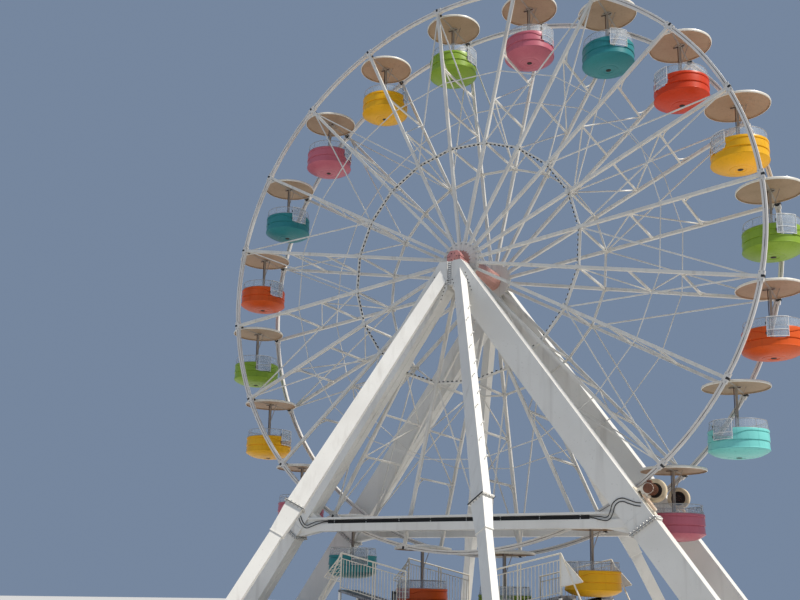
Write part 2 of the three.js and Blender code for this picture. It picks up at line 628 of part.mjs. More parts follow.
// One climbing railing, its posts, the raking tube and the triangular screen at its outer end.
function railingPanel(left, side) {
  const y = side * RAIL.y;
  const parts = [];
  const at = (share, drop) => new THREE.Vector3(
    left * THREE.MathUtils.lerp(DECK.flat, DECK.reach - RAIL.tube / 2, share), y,
    THREE.MathUtils.lerp(RAIL.lowTop, RAIL.highTop, share) - drop,
  );
  for (const [drop, size] of [[0, RAIL.tube], [RAIL.second, RAIL.thin], [RAIL.bottom, RAIL.thin]]) {
    parts.push(bar(at(0, drop), at(1, drop), size, size));
  }
  const middle = RAIL.gap / (DECK.reach - DECK.flat) / 2;
  for (const share of [0.01, 0.48 - middle, 0.48 + middle, 0.995]) {
    const top = at(share, 0);
    const deck = THREE.MathUtils.lerp(DECK.lowTop, DECK.highTop, share) - DECK.plate / 2;
    parts.push(bar(top.clone().setZ(deck), top, RAIL.tube * 0.9, RAIL.tube * 0.9));
  }
  const end = DECK.reach - RAIL.tube;
  const screen = [
    [left * end, END_SCREEN.bottom], [left * (end + END_SCREEN.reach), END_SCREEN.low],
    [left * end, END_SCREEN.top],
  ];
  const thickness = END_SCREEN.thickness / 2;
  parts.push(plateAlongY(left > 0 ? screen : screen.reverse(), y - thickness, y + thickness));
  const rakingFoot = new THREE.Vector3(left * (DECK.reach + RAKING_TUBE_REACH), y, 30);
  parts.push(bar(at(1, 0), rakingFoot, RAIL.tube, RAIL.tube));
  return parts;
}

const ferrisWheel = new THREE.Group();

const wheel = new THREE.Group();
wheel.position.z = HUB_HEIGHT;
ferrisWheel.add(wheel);
wheel.add(piece("hub", hubGeometry(), HUB_RED));
wheel.add(piece("cross_struts", strutGeometry(), OFF_WHITE));

const hanger = hangerGeometry();
const tub = tubGeometry();
for (let k = 0; k < GONDOLA_COUNT; k += 1) {
  const gondola = new THREE.Group();
  gondola.position.copy(onWheel(PIVOT_RADIUS, gondolaAngle(k), 0));
  const label = String(k).padStart(2, "0");
  gondola.add(piece(`hanger_${label}`, hanger, CREAM));
  const look = { color: TUB_COLOURS[TUB_ORDER[k]], roughness: 0.4, metalness: 0.0 };
  const turnedTub = piece(`tub_${label}`, tub, look);
  turnedTub.rotation.z = THREE.MathUtils.degToRad(DOORWAY_TURN[k]);
  gondola.add(turnedTub);
  wheel.add(gondola);
}

for (const [name, side] of [["front", -1], ["back", 1]]) {
  wheel.add(piece(`${name}_rim`, rimGeometry(side), SHADED_WHITE));
  wheel.add(piece(`${name}_lattice`, latticeGeometry(side), OFF_WHITE));
  ferrisWheel.add(piece(`${name}_a_frame`, aFrameGeometry(side), OFF_WHITE));
  ferrisWheel.add(piece(`${name}_cross_beam`, beamGeometry(side), OFF_WHITE));
  ferrisWheel.add(piece(`${name}_left_prop`, propGeometry(-1, side), OFF_WHITE));
  ferrisWheel.add(piece(`${name}_right_prop`, propGeometry(1, side), OFF_WHITE));
  ferrisWheel.add(piece(`${name}_drive_unit`, driveUnitGeometry(side), DARK_STEEL));
  const tyre = piece(`${name}_drive_tyre`, tyreGeometry(), TYRE_CREAM);
  tyre.position.copy(tyreCentre(side));
  ferrisWheel.add(tyre);
}
ferrisWheel.add(piece("front_cables", cableGeometry(), CABLE_BLACK));
ferrisWheel.add(piece("boarding_platform", platformGeometry(), DECK_GREY));

export default ferrisWheel;
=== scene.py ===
"""Dresses the ferris wheel: finishes for its steelwork, detailed gondolas, rims, drive tyres, bearings,
railings, cables and small fittings, and a plain studio to picture it in.

Everything is in metres in the frame of the solids: +Z up, the axle along Y, the front facing -Y and the
origin on the ground under the middle of the axle.
"""

import logging
import math
from dataclasses import dataclass, field
from enum import Enum
from typing import Callable, Iterable, Sequence

import bmesh
import bpy
from mathutils import Matrix, Vector


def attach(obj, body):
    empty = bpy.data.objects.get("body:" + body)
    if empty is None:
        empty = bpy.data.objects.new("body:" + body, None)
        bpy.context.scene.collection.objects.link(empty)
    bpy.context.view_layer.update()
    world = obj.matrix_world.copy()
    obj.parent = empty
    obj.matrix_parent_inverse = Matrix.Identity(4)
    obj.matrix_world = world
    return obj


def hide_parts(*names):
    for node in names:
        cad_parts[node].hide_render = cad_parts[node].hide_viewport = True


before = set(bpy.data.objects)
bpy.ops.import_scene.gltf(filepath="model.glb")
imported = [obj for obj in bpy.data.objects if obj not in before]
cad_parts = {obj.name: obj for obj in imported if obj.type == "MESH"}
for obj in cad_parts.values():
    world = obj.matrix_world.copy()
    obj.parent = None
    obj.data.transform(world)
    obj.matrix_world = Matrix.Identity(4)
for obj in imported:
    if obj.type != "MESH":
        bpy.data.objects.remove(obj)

log = logging.getLogger("ferris_wheel")

Point = Sequence[float]

HUB = Vector((0.0, 0.0, 12.0))
GONDOLAS = 20
PITCH = 2 * math.pi / GONDOLAS
FIRST_ANGLE = math.radians(-132.21)
PIVOT_RADIUS = 9.2
FACE = 1.18
LEG_LEAN = math.atan(0.7145)
LEG_FRONT = 1.92
SIDES = {"front": -1, "back": 1}
BOTH = (-1, 1)


def looks(way: Point, both: bool = False) -> Callable[[Vector, Vector], bool]:
    """A test for the faces that look one way, or that way and back."""
    way = Vector(way)
    if both:
        return lambda middle, normal: abs(normal.dot(way)) > 0.9
    return lambda middle, normal: normal.dot(way) > 0.9


TOP = looks((0, 0, 1))
FRONT = looks((0, -1, 0))
ENDS_X = looks((1, 0, 0), True)
ENDS_Y = looks((0, 1, 0), True)
ENDS_Z = looks((0, 0, 1), True)


def mirrored(half: Sequence[tuple[float, float]]) -> list[tuple[float, float]]:
    """An outline in X and Z, completed by its mirror image."""
    return [*half, *((-x, z) for x, z in reversed(half))]


def srgb(code: int) -> tuple[float, float, float, float]:
    """Turns a 24-bit screen colour into the linear colour that shaders take.

    Args:
        code: the colour as 0xRRGGBB.

    Returns:
        Linear red, green, blue and an alpha of one.
    """
    parts = [((code >> shift) & 255) / 255 for shift in (16, 8, 0)]
    linear = [p / 12.92 if p <= 0.04045 else ((p + 0.055) / 1.055) ** 2.4 for p in parts]
    return (linear[0], linear[1], linear[2], 1.0)


def on_wheel(radius: float, angle: float, y: float) -> Vector:
    """A point of the wheel at a radius, an angle from the top and a place along the axle."""
    return HUB + Vector((radius * math.sin(angle), y, radius * math.cos(angle)))


def gondola_angle(number: float) -> float:
    """The wheel's angle at one gondola, or between two of them at a broken number."""
    return FIRST_ANGLE + number * PITCH


def at_gondola(radius: float, number: int, y: float) -> Matrix:
    """A placing on the wheel at one gondola, turned with the wheel."""
    angle = gondola_angle(number)
    return Matrix.Translation(on_wheel(radius, angle, y)) @ Matrix.Rotation(angle, 4, "Y")


def frame_along(start: Point, end: Point, side: Point) -> Matrix:
    """A placing whose Z runs from one point to another.

    Args:
        start: where the placing has its origin.
        end: the point that Z looks at.
        side: the direction that Y keeps as close to as it can.

    Returns:
        The placing as a 4x4 matrix.
    """
    along = (Vector(end) - Vector(start)).normalized()
    across = Vector(side).cross(along).normalized()
    upright = along.cross(across)
    placing = Matrix((across, upright, along)).transposed().to_4x4()
    placing.translation = Vector(start)
    return placing


def deselect() -> None:
    """Goes to object mode with nothing selected."""
    if bpy.context.mode != "OBJECT":
        bpy.ops.object.mode_set(mode="OBJECT")
    bpy.ops.object.select_all(action="DESELECT")


def take(thing: bpy.types.Object) -> None:
    """Selects one object alone and makes it active."""
    deselect()
    thing.select_set(True)
    bpy.context.view_layer.objects.active = thing


# Shaping


class Workpiece:
    """One mesh on the bench, shaped with Blender's own editing operators."""

    def __init__(self, thing: bpy.types.Object) -> None:
        """Takes an object on to the bench."""
        self.thing = thing

    @classmethod
    def block(cls, name: str, low: Point, high: Point) -> "Workpiece":
        """Adds a box between two corners.

        Args:
            name: the piece's name.
            low: its lowest corner.
            high: its highest corner.

        Returns:
            The box, with its place in its mesh.
        """
        deselect()
        low, high = Vector(low), Vector(high)
        bpy.ops.mesh.primitive_cube_add(size=1, location=(low + high) / 2)
        thing = bpy.context.object
        thing.name = name
        thing.scale = high - low
        bpy.ops.object.transform_apply(location=True, rotation=True, scale=True)
        return cls(thing)

    @classmethod
    def bar(cls, name: str, start: Point, end: Point, width: float, depth: float,
            side: Point = (0, 1, 0)) -> "Workpiece":
        """Adds a straight square bar between two points.

        Args:
            name: the piece's name.
            start: where it begins.
            end: where it ends.
            width: its size across.
            depth: its size along `side`.
            side: the direction of its depth.

        Returns:
            The bar.
        """
        length = (Vector(end) - Vector(start)).length
        made = cls.block(name, (-width / 2, -depth / 2, 0), (width / 2, depth / 2, length))
        made.thing.data.transform(frame_along(start, end, side))
        return made

    @classmethod
    def drum(cls, name: str, start: Point, end: Point, radius: float, sides: int = 16,
             capped: bool = True) -> "Workpiece":
        """Adds a round bar between two points.

        Args:
            name: the piece's name.
            start: the middle of one end.
            end: the middle of the other.
            radius: its radius.
            sides: how many flats stand for the round.
            capped: whether its ends are closed.

        Returns:
            The bar, with the primitive's own UV map.
        """
        deselect()
        length = (Vector(end) - Vector(start)).length
        bpy.ops.mesh.primitive_cylinder_add(vertices=sides, radius=radius, depth=length,
                                            end_fill_type="NGON" if capped else "NOTHING")
        thing = bpy.context.object
        thing.name = name
        side = (0, 1, 0) if abs((Vector(end) - Vector(start)).y) < 0.9 * length else (1, 0, 0)
        thing.data.transform(frame_along(start, end, side) @ Matrix.Translation((0, 0, length / 2)))
        return cls(thing)

    @classmethod
    def line(cls, name: str, points: Sequence[Point]) -> "Workpiece":
        """Draws a line of edges point by point, and stays in edit mode.

        Args:
            name: the piece's name.
            points: the places the line passes, at least two.

        Returns:
            The line.
        """
        deselect()
        bpy.ops.mesh.primitive_plane_add(size=0.01, location=(0, 0, 0))
        thing = bpy.context.object
        thing.name = name
        bpy.ops.object.mode_set(mode="EDIT")
        bpy.ops.mesh.select_mode(type="VERT")
        bpy.ops.mesh.select_all(action="SELECT")
        bpy.ops.mesh.merge(type="CENTER")
        bpy.ops.transform.translate(value=Vector(points[0]))
        for before, after in zip(points, points[1:]):
            step = Vector(after) - Vector(before)
            bpy.ops.mesh.extrude_vertices_move(TRANSFORM_OT_translate={"value": step})
        bpy.ops.mesh.select_all(action="SELECT")
        return cls(thing)

    @classmethod
    def plate(cls, name: str, points: Sequence[Point], by: Point) -> "Workpiece":
        """Draws an outline, fills it and gives it a thickness.

        Args:
            name: the piece's name.
            points: the outline's corners.
            by: how far and which way it is made thick.

        Returns:
            The closed plate.
        """
        made = cls.line(name, points)
        bpy.ops.mesh.edge_face_add()
        bpy.ops.mesh.extrude_region_move(TRANSFORM_OT_translate={"value": Vector(by)})
        return made.outwards()

    @classmethod
    def turned(cls, name: str, profile: Sequence[tuple[float, float]], steps: int,
               axis: str = "Z", centre: Point = (0, 0, 0), sweep: float = 2 * math.pi) -> "Workpiece":
        """Spins a profile round an axis.

        Args:
            name: the piece's name.
            profile: points as (radius, distance along the axis).
            steps: how many steps the spin takes.
            axis: "Z" or "Y".
            centre: a point on the axis.
            sweep: how far the spin goes, in radians.

        Returns:
            The turned piece, closed where the profile is.
        """
        upright = axis == "Z"
        place = [Vector(centre) + Vector((r, 0, h) if upright else (r, h, 0)) for r, h in profile]
        made = cls.line(name, place)
        bpy.ops.mesh.remove_doubles(threshold=1e-6)
        if sweep < 2 * math.pi:
            bpy.ops.mesh.edge_face_add()
        bpy.ops.mesh.spin(steps=steps, angle=-sweep, center=Vector(centre),
                          axis=(0, 0, 1) if upright else (0, 1, 0))
        return made.outwards()

    def outwards(self) -> "Workpiece":
        """Merges doubles and turns every face outwards."""
        self._edit("VERT")
        bpy.ops.mesh.select_all(action="SELECT")
        bpy.ops.mesh.remove_doubles(threshold=1e-5)
        bpy.ops.mesh.normals_make_consistent(inside=False)
        return self

    def _edit(self, mode: str) -> None:
        """Opens the mesh in edit mode with one kind of selection."""
        if bpy.context.mode != "EDIT_MESH" or bpy.context.object is not self.thing:
            take(self.thing)
            bpy.ops.object.mode_set(mode="EDIT")
        bpy.ops.mesh.select_mode(type=mode)

    def faces(self, test: Callable[[Vector, Vector], bool]) -> "Workpiece":
        """Selects the faces whose middle and normal pass a test.

        Args:
            test: called with each face's middle and normal.

        Returns:
            This piece, with those faces selected.
        """
        self._edit("FACE")
        bpy.ops.mesh.select_all(action="DESELECT")
        mesh = bmesh.from_edit_mesh(self.thing.data)
        for face in mesh.faces:
            if test(face.calc_center_median(), face.normal):
                face.select_set(True)
        bmesh.update_edit_mesh(self.thing.data)
        return self

    def corners(self, test: Callable[[Vector], bool]) -> "Workpiece":
        """Selects the corners whose place passes a test."""
        self._edit("VERT")
        bpy.ops.mesh.select_all(action="DESELECT")
        mesh = bmesh.from_edit_mesh(self.thing.data)
        for corner in mesh.verts:
            if test(corner.co):
                corner.select_set(True)
        bmesh.update_edit_mesh(self.thing.data)
        return self

    def shift(self, by: Point) -> "Workpiece":
        """Moves the selection by a step."""
        bpy.ops.transform.translate(value=Vector(by))
        return self

    def extrude(self, by: Point) -> "Workpiece":
        """Extrudes the selection by a step."""
        bpy.ops.mesh.extrude_region_move(TRANSFORM_OT_translate={"value": Vector(by)})
        return self

    def inset(self, thickness: float, one_by_one: bool = False) -> "Workpiece":
        """Insets the selected faces together, or one by one."""
        bpy.ops.mesh.inset(thickness=thickness, depth=0, use_individual=one_by_one)
        return self

    def resize(self, by: Point, centre: Point) -> "Workpiece":
        """Scales the selection about a point."""
        bpy.ops.transform.resize(value=Vector(by), center_override=Vector(centre))
        return self

    def remove(self) -> "Workpiece":
        """Deletes the selected faces."""
        bpy.ops.mesh.delete(type="FACE")
        return self

    def mark(self, index: int) -> "Workpiece":
        """Gives the selected faces one of the piece's finishes, by its number."""
        mesh = bmesh.from_edit_mesh(self.thing.data)
        for face in mesh.faces:
            if face.select:
                face.material_index = index
        bmesh.update_edit_mesh(self.thing.data)
        return self

    def wear(self, *finishes: "Finish") -> "Workpiece":
        """Sets the piece's finishes, the first one being number 0."""
        for finish in finishes:
            self.thing.data.materials.append(finish.material)
        return self

    def moved(self, by: Matrix) -> "Workpiece":
        """Turns and shifts the whole mesh."""
        take(self.thing)
        self.thing.data.transform(by)
        return self

    def modify(self, kind: str, **settings: object) -> "Workpiece":
        """Adds one modifier and applies it.

        Args:
            kind: the modifier's type.
            **settings: its values.

        Returns:
            This piece, back in object mode.
        """
        take(self.thing)
        modifier = self.thing.modifiers.new(kind.lower(), kind)
        for key, value in settings.items():
            setattr(modifier, key, value)
        bpy.ops.object.modifier_apply(modifier=modifier.name)
        return self

    def eased(self, width: float, segments: int = 1, angle: float = 40) -> "Workpiece":
        """Rounds the edges that are sharper than an angle in degrees."""
        return self.modify("BEVEL", width=width, segments=segments, limit_method="ANGLE",
                           angle_limit=math.radians(angle))

    def cut_by(self, cutter: "Workpiece") -> "Workpiece":
        """Cuts another piece out of this one and throws it away."""
        deselect()
        self.modify("BOOLEAN", object=cutter.thing, operation="DIFFERENCE", solver="EXACT")
        bpy.data.objects.remove(cutter.thing)
        return self

    def done(self, smooth: float = 35) -> bpy.types.Object:
        """Shades the piece smooth up to an angle in degrees and hands it over."""
        take(self.thing)
        bpy.ops.object.shade_smooth_by_angle(angle=math.radians(smooth))
        return self.thing


def copied(master: bpy.types.Object, name: str, place: Matrix) -> bpy.types.Object:
    """One copy of a finished piece, with its own mesh and its place in it."""
    twin = master.copy()
    twin.data = master.data.copy()
    twin.name = name
    twin.data.transform(place)
    bpy.context.scene.collection.objects.link(twin)
    return twin


def joined(name: str, things: Sequence[bpy.types.Object]) -> bpy.types.Object:
    """Several finished objects made into one piece."""
    deselect()
    for thing in things:
        thing.select_set(True)
    bpy.context.view_layer.objects.active = things[0]
    if len(things) > 1:
        bpy.ops.object.join()
    things[0].name = name
    return things[0]


def repeated(name: str, master: bpy.types.Object, places: Iterable[Matrix]) -> bpy.types.Object:
    """Copies of a master at several places, as one piece; the master goes."""
    twins = [copied(master, f"{name}_{i}", place) for i, place in enumerate(places)]
    bpy.data.objects.remove(master)
    return joined(name, twins)


def fit(thing: bpy.types.Object, body: str, slot: str, *replaced: str) -> bpy.types.Object:
    """Hands a finished piece to its body.

    Args:
        thing: the piece.
        body: the body that it rides on.
        slot: the record's slot that its finish belongs to; not used.
        *replaced: the nodes that it stands for.

    Returns:
        The piece.
    """
    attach(thing, body)
    if replaced:
        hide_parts(*replaced)
    log.info("%s rides on %s, %d faces", thing.name, body, len(thing.data.polygons))
    return thing


def fit_all(body: str, slot: str, *things: bpy.types.Object) -> None:
    """Hands several finished pieces to one body."""
    for thing in things:
        fit(thing, body, slot)


# Finishes


class Effect:
    """A shader effect under construction: a node group with named inputs and outputs."""

    def __init__(self, name: str) -> None:
        """Starts an empty effect."""
        self.tree = bpy.data.node_groups.new(name, "ShaderNodeTree")
        self.start = self.tree.nodes.new("NodeGroupInput")
        self.end = self.tree.nodes.new("NodeGroupOutput")

    def takes(self, name: str, kind: str, value: object = None) -> bpy.types.NodeSocket:
        """Adds one named input and returns where its value comes out."""
        made = self.tree.interface.new_socket(name, in_out="INPUT", socket_type=f"NodeSocket{kind}")
        if value is not None:
            made.default_value = value
        return self.start.outputs[name]

    def gives(self, name: str, kind: str, source: bpy.types.NodeSocket) -> None:
        """Adds one named output fed by a socket."""
        self.tree.interface.new_socket(name, in_out="OUTPUT", socket_type=f"NodeSocket{kind}")
        self.tree.links.new(source, self.end.inputs[name])

    def node(self, kind: str, inputs: dict[object, object], **settings: object) -> bpy.types.Node:
        """Adds one node, sets it up and feeds its inputs.

        Args:
            kind: the node's type, less "ShaderNode".
            inputs: values or sockets, by input name or number.
            **settings: the node's own properties.

        Returns:
            The node.
        """
        made = self.tree.nodes.new(f"ShaderNode{kind}")
        for key, value in settings.items():
            setattr(made, key, value)
        for key, value in inputs.items():
            if isinstance(value, bpy.types.NodeSocket):
                self.tree.links.new(value, made.inputs[key])
            else:
                made.inputs[key].default_value = value
        return made

    def math(self, operation: str, *values: object) -> bpy.types.NodeSocket:
        """Adds one sum and returns its result."""
        return self.node("Math", dict(enumerate(values)), operation=operation).outputs[0]

    def stretch(self, value: object, low: float, high: float, to_low: float = 0.0,
                to_high: float = 1.0) -> bpy.types.NodeSocket:
        """Maps a range on to another, held within it."""
        made = self.node("MapRange", {0: value, 1: low, 2: high, 3: to_low, 4: to_high})
        return made.outputs[0]

    def mix(self, share: object, first: object, second: object) -> bpy.types.NodeSocket:
        """Mixes two colours by a share."""
        made = self.node("Mix", {0: share, 6: first, 7: second}, data_type="RGBA")
        return made.outputs[2]

    def noise(self, place: object, scale: object, detail: float = 3) -> bpy.types.NodeSocket:
        """Adds a noise pattern and returns its strength."""
        return self.node("TexNoise", {"Vector": place, "Scale": scale, "Detail": detail}).outputs[0]

    def scaled(self, place: object, by: Point) -> bpy.types.NodeSocket:
        """Stretches a place along its axes."""
        made = self.node("VectorMath", {0: place, 1: Vector(by)}, operation="MULTIPLY")
        return made.outputs[0]


def weather_effect() -> bpy.types.NodeTree:
    """Paint out of doors: cloudy fading, rain runs down the faces, specks and a faint orange peel."""
    made = Effect("weathered_paint")
    place = made.takes("Place", "Vector")
    base = made.takes("Paint", "Color", (0.8, 0.8, 0.8, 1))
    dirt = made.takes("Grime", "Color", (0.3, 0.25, 0.2, 1))
    amount = made.takes("Amount", "Float", 0.4)
    scale = made.takes("Scale", "Float", 1.0)
    rough = made.takes("Gloss", "Float", 0.5)
    patches = made.noise(place, scale, 5)
    runs = made.noise(made.scaled(place, (7.0, 7.0, 0.5)), scale, 4)
    specks = made.noise(place, made.math("MULTIPLY", scale, 28.0), 2)
    peel = made.noise(place, 160.0, 1)
    cloud = made.stretch(patches, 0.42, 0.72)
    run = made.math("MULTIPLY", made.stretch(runs, 0.5, 0.74), made.stretch(patches, 0.3, 0.6, 0.25))
    speck = made.stretch(specks, 0.66, 0.78, 0.0, 0.8)
    soiled = made.math("MAXIMUM", made.math("MULTIPLY", cloud, 0.45), made.math("MAXIMUM", run, speck))
    share = made.math("MULTIPLY", soiled, amount)
    made.gives("Colour", "Color", made.mix(share, base, dirt))
    made.gives("Roughness", "Float", made.math("ADD", rough, made.math("MULTIPLY", share, 0.3)))
    made.gives("Height", "Float", made.math("ADD", made.math("MULTIPLY", peel, 0.4), patches))
    return made.tree


def rubber_effect() -> bpy.types.NodeTree:
    """Rubber and cast skins: fine pits and scuffs."""
    made = Effect("scuffed_skin")
    place = made.takes("Place", "Vector")
    base = made.takes("Skin", "Color", (0.1, 0.1, 0.1, 1))
    scuff = made.takes("Scuff", "Color", (0.3, 0.3, 0.3, 1))
    scale = made.takes("Scale", "Float", 30.0)
    pits = made.node("TexVoronoi", {"Vector": place, "Scale": scale}).outputs["Distance"]
    marks = made.noise(made.scaled(place, (1.0, 3.0, 1.0)), made.math("MULTIPLY", scale, 0.2), 5)
    share = made.stretch(marks, 0.5, 0.78, 0.0, 0.7)
    made.gives("Colour", "Color", made.mix(share, base, scuff))
    made.gives("Roughness", "Float", made.stretch(marks, 0.2, 0.8, 0.45, 0.85))
    made.gives("Height", "Float", made.math("ADD", pits, made.math("MULTIPLY", marks, 0.5)))
    return made.tree


def tread_effect() -> bpy.types.NodeTree:
    """Tread plate: raised bars that cross in turn, worn bright on top and dirty between."""
    made = Effect("tread_plate")
    place = made.takes("Place", "Vector")
    base = made.takes("Metal", "Color", (0.3, 0.3, 0.3, 1))
    dirt = made.takes("Grime", "Color", (0.1, 0.09, 0.08, 1))
    turned = made.node("VectorRotate", {"Vector": place, "Angle": math.pi / 4},
                       rotation_type="Z_AXIS").outputs[0]
    split = made.node("SeparateXYZ", {0: made.scaled(turned, (22.0, 22.0, 22.0))})
    first = made.math("SINE", made.math("MULTIPLY", split.outputs[0], math.pi))
    second = made.math("SINE", made.math("MULTIPLY", split.outputs[1], math.pi))
    bars = made.math("MULTIPLY", first, second)
    raised = made.stretch(made.math("ABSOLUTE", bars), 0.35, 0.6)
    dusty = made.stretch(made.noise(place, 2.2, 5), 0.4, 0.7)
    share = made.math("MULTIPLY", dusty, made.math("SUBTRACT", 1.0, made.math("MULTIPLY", raised, 0.7)))
    made.gives("Colour", "Color", made.mix(share, base, dirt))
    made.gives("Roughness", "Float", made.stretch(share, 0.0, 1.0, 0.38, 0.85))
    made.gives("Height", "Float", raised)
    return made.tree


def sheet_effect() -> bpy.types.NodeTree:
    """A see-through sheet crossed by faint ribs in both directions of the UV map."""
    made = Effect("ribbed_sheet")
    place = made.takes("Place", "Vector")
    around = made.takes("Around", "Float", 120.0)
    upward = made.takes("Upward", "Float", 20.0)
    film = made.takes("Film", "Float", 0.2)
    split = made.node("SeparateXYZ", {0: place})
    waves = []
    for number, count in ((0, around), (1, upward)):
        turn = made.math("FRACT", made.math("MULTIPLY", split.outputs[number], count))
        edge = made.math("ABSOLUTE", made.math("SUBTRACT", turn, 0.5))
        waves.append(made.stretch(edge, 0.45, 0.49))
    rib = made.math("MULTIPLY", made.math("MAXIMUM", waves[0], waves[1]), 0.45)
    made.gives("Alpha", "Float", made.math("MAXIMUM", rib, film))
    made.gives("Height", "Float", rib)
    return made.tree


EFFECTS: dict[str, bpy.types.NodeTree] = {}


def effect(name: str, build: Callable[[], bpy.types.NodeTree]) -> bpy.types.NodeTree:
    """An effect by name, built the first time it is asked for."""
    if name not in EFFECTS:
        EFFECTS[name] = build()
    return EFFECTS[name]


class Coating(Effect):
    """A material under construction, with its own surface shader."""

    def __init__(self, name: str) -> None:
        """Starts a material with a plain surface."""
        self.material = bpy.data.materials.new(name)
        self.material.use_nodes = True
        self.tree = self.material.node_tree
        self.surface = self.tree.nodes["Principled BSDF"]
        self.places = self.node("TexCoord", {})

    def use(self, name: str, build: Callable[[], bpy.types.NodeTree], **inputs: object) -> bpy.types.Node:
        """Places an effect in the material with its own values."""
        made = self.tree.nodes.new("ShaderNodeGroup")
        made.node_tree = effect(name, build)
        for key, value in inputs.items():
            if isinstance(value, bpy.types.NodeSocket):
                self.tree.links.new(value, made.inputs[key])
            else:
                made.inputs[key].default_value = value
        return made

    def feed(self, socket: str, source: bpy.types.NodeSocket) -> None:
        """Links one of the surface's inputs."""
        self.tree.links.new(source, self.surface.inputs[socket])

    def bump(self, height: bpy.types.NodeSocket, strength: float, distance: float) -> None:
        """Raises the surface by a height pattern."""
        made = self.node("Bump", {"Strength": strength, "Distance": distance, "Height": height})
        self.feed("Normal", made.outputs[0])

    def paint(self, used: bpy.types.Node) -> None:
        """Takes colour and roughness from an effect."""
        self.feed("Base Color", used.outputs["Colour"])
        self.feed("Roughness", used.outputs["Roughness"])


@dataclass(frozen=True)
class WeatheredPaint:
    """Paint on steel or fibreglass that stands out of doors."""

    name: str
    colour: int
    grime: int = 0x7A6A58
    amount: float = 0.45
    scale: float = 0.8
    gloss: float = 0.42
    metallic: float = 0.0
    coat: float = 0.0
    specular: float = 0.5
    relief: float = 0.25

    def material(self) -> bpy.types.Material:
        """Builds the material."""
        made = Coating(self.name)
        used = made.use("weather", weather_effect, Place=made.places.outputs["Object"],
                        Paint=srgb(self.colour), Grime=srgb(self.grime), Amount=self.amount,
                        Scale=self.scale, Gloss=self.gloss)
        made.paint(used)
        made.surface.inputs["Metallic"].default_value = self.metallic
        made.surface.inputs["Coat Weight"].default_value = self.coat
        made.surface.inputs["Specular IOR Level"].default_value = self.specular
        made.surface.inputs["Coat Roughness"].default_value = 0.12
        made.bump(used.outputs["Height"], self.relief, 0.004)
        return made.material


@dataclass(frozen=True)
class Laminate(WeatheredPaint):
    """The tubs' coloured laminate, which has lost most of its gloss."""

    amount: float = 0.3
    scale: float = 2.2
    gloss: float = 0.36
    coat: float = 0.04
    specular: float = 0.22


@dataclass(frozen=True)
class ScuffedSkin:
    """Rubber, cable sheath or rough casting."""

    name: str
    colour: int
    scuff: int
    scale: float = 30.0
    metallic: float = 0.0

    def material(self) -> bpy.types.Material:
        """Builds the material."""
        made = Coating(self.name)
        used = made.use("rubber", rubber_effect, Place=made.places.outputs["Object"],
                        Skin=srgb(self.colour), Scuff=srgb(self.scuff), Scale=self.scale)
        made.paint(used)
        made.surface.inputs["Metallic"].default_value = self.metallic
        made.bump(used.outputs["Height"], 0.3, 0.003)
        return made.material


@dataclass(frozen=True)
class TreadPlate:
    """Raised-bar steel plate of the decks and steps."""

    name: str
    colour: int
    grime: int

    def material(self) -> bpy.types.Material:
        """Builds the material."""
        made = Coating(self.name)
        used = made.use("tread", tread_effect, Place=made.places.outputs["Object"],
                        Metal=srgb(self.colour), Grime=srgb(self.grime))
        made.paint(used)
        made.surface.inputs["Metallic"].default_value = 0.5
        made.bump(used.outputs["Height"], 0.6, 0.004)
        return made.material


@dataclass(frozen=True)
class ClearSheet:
    """See-through plastic sheet of the guards and gates, with faint ribs."""

    name: str
    colour: int
    around: float
    upward: float
    film: float

    def material(self) -> bpy.types.Material:
        """Builds the material."""
        made = Coating(self.name)
        used = made.use("sheet", sheet_effect, Place=made.places.outputs["UV"], Around=self.around,
                        Upward=self.upward, Film=self.film)
        paint = made.use("weather", weather_effect, Place=made.places.outputs["Object"],
                         Paint=srgb(self.colour), Grime=srgb(0x6A665E), Amount=0.3, Scale=3.0, Gloss=0.4)
        made.paint(paint)
        made.feed("Alpha", used.outputs["Alpha"])
        made.bump(used.outputs["Height"], 0.4, 0.002)
        return made.material


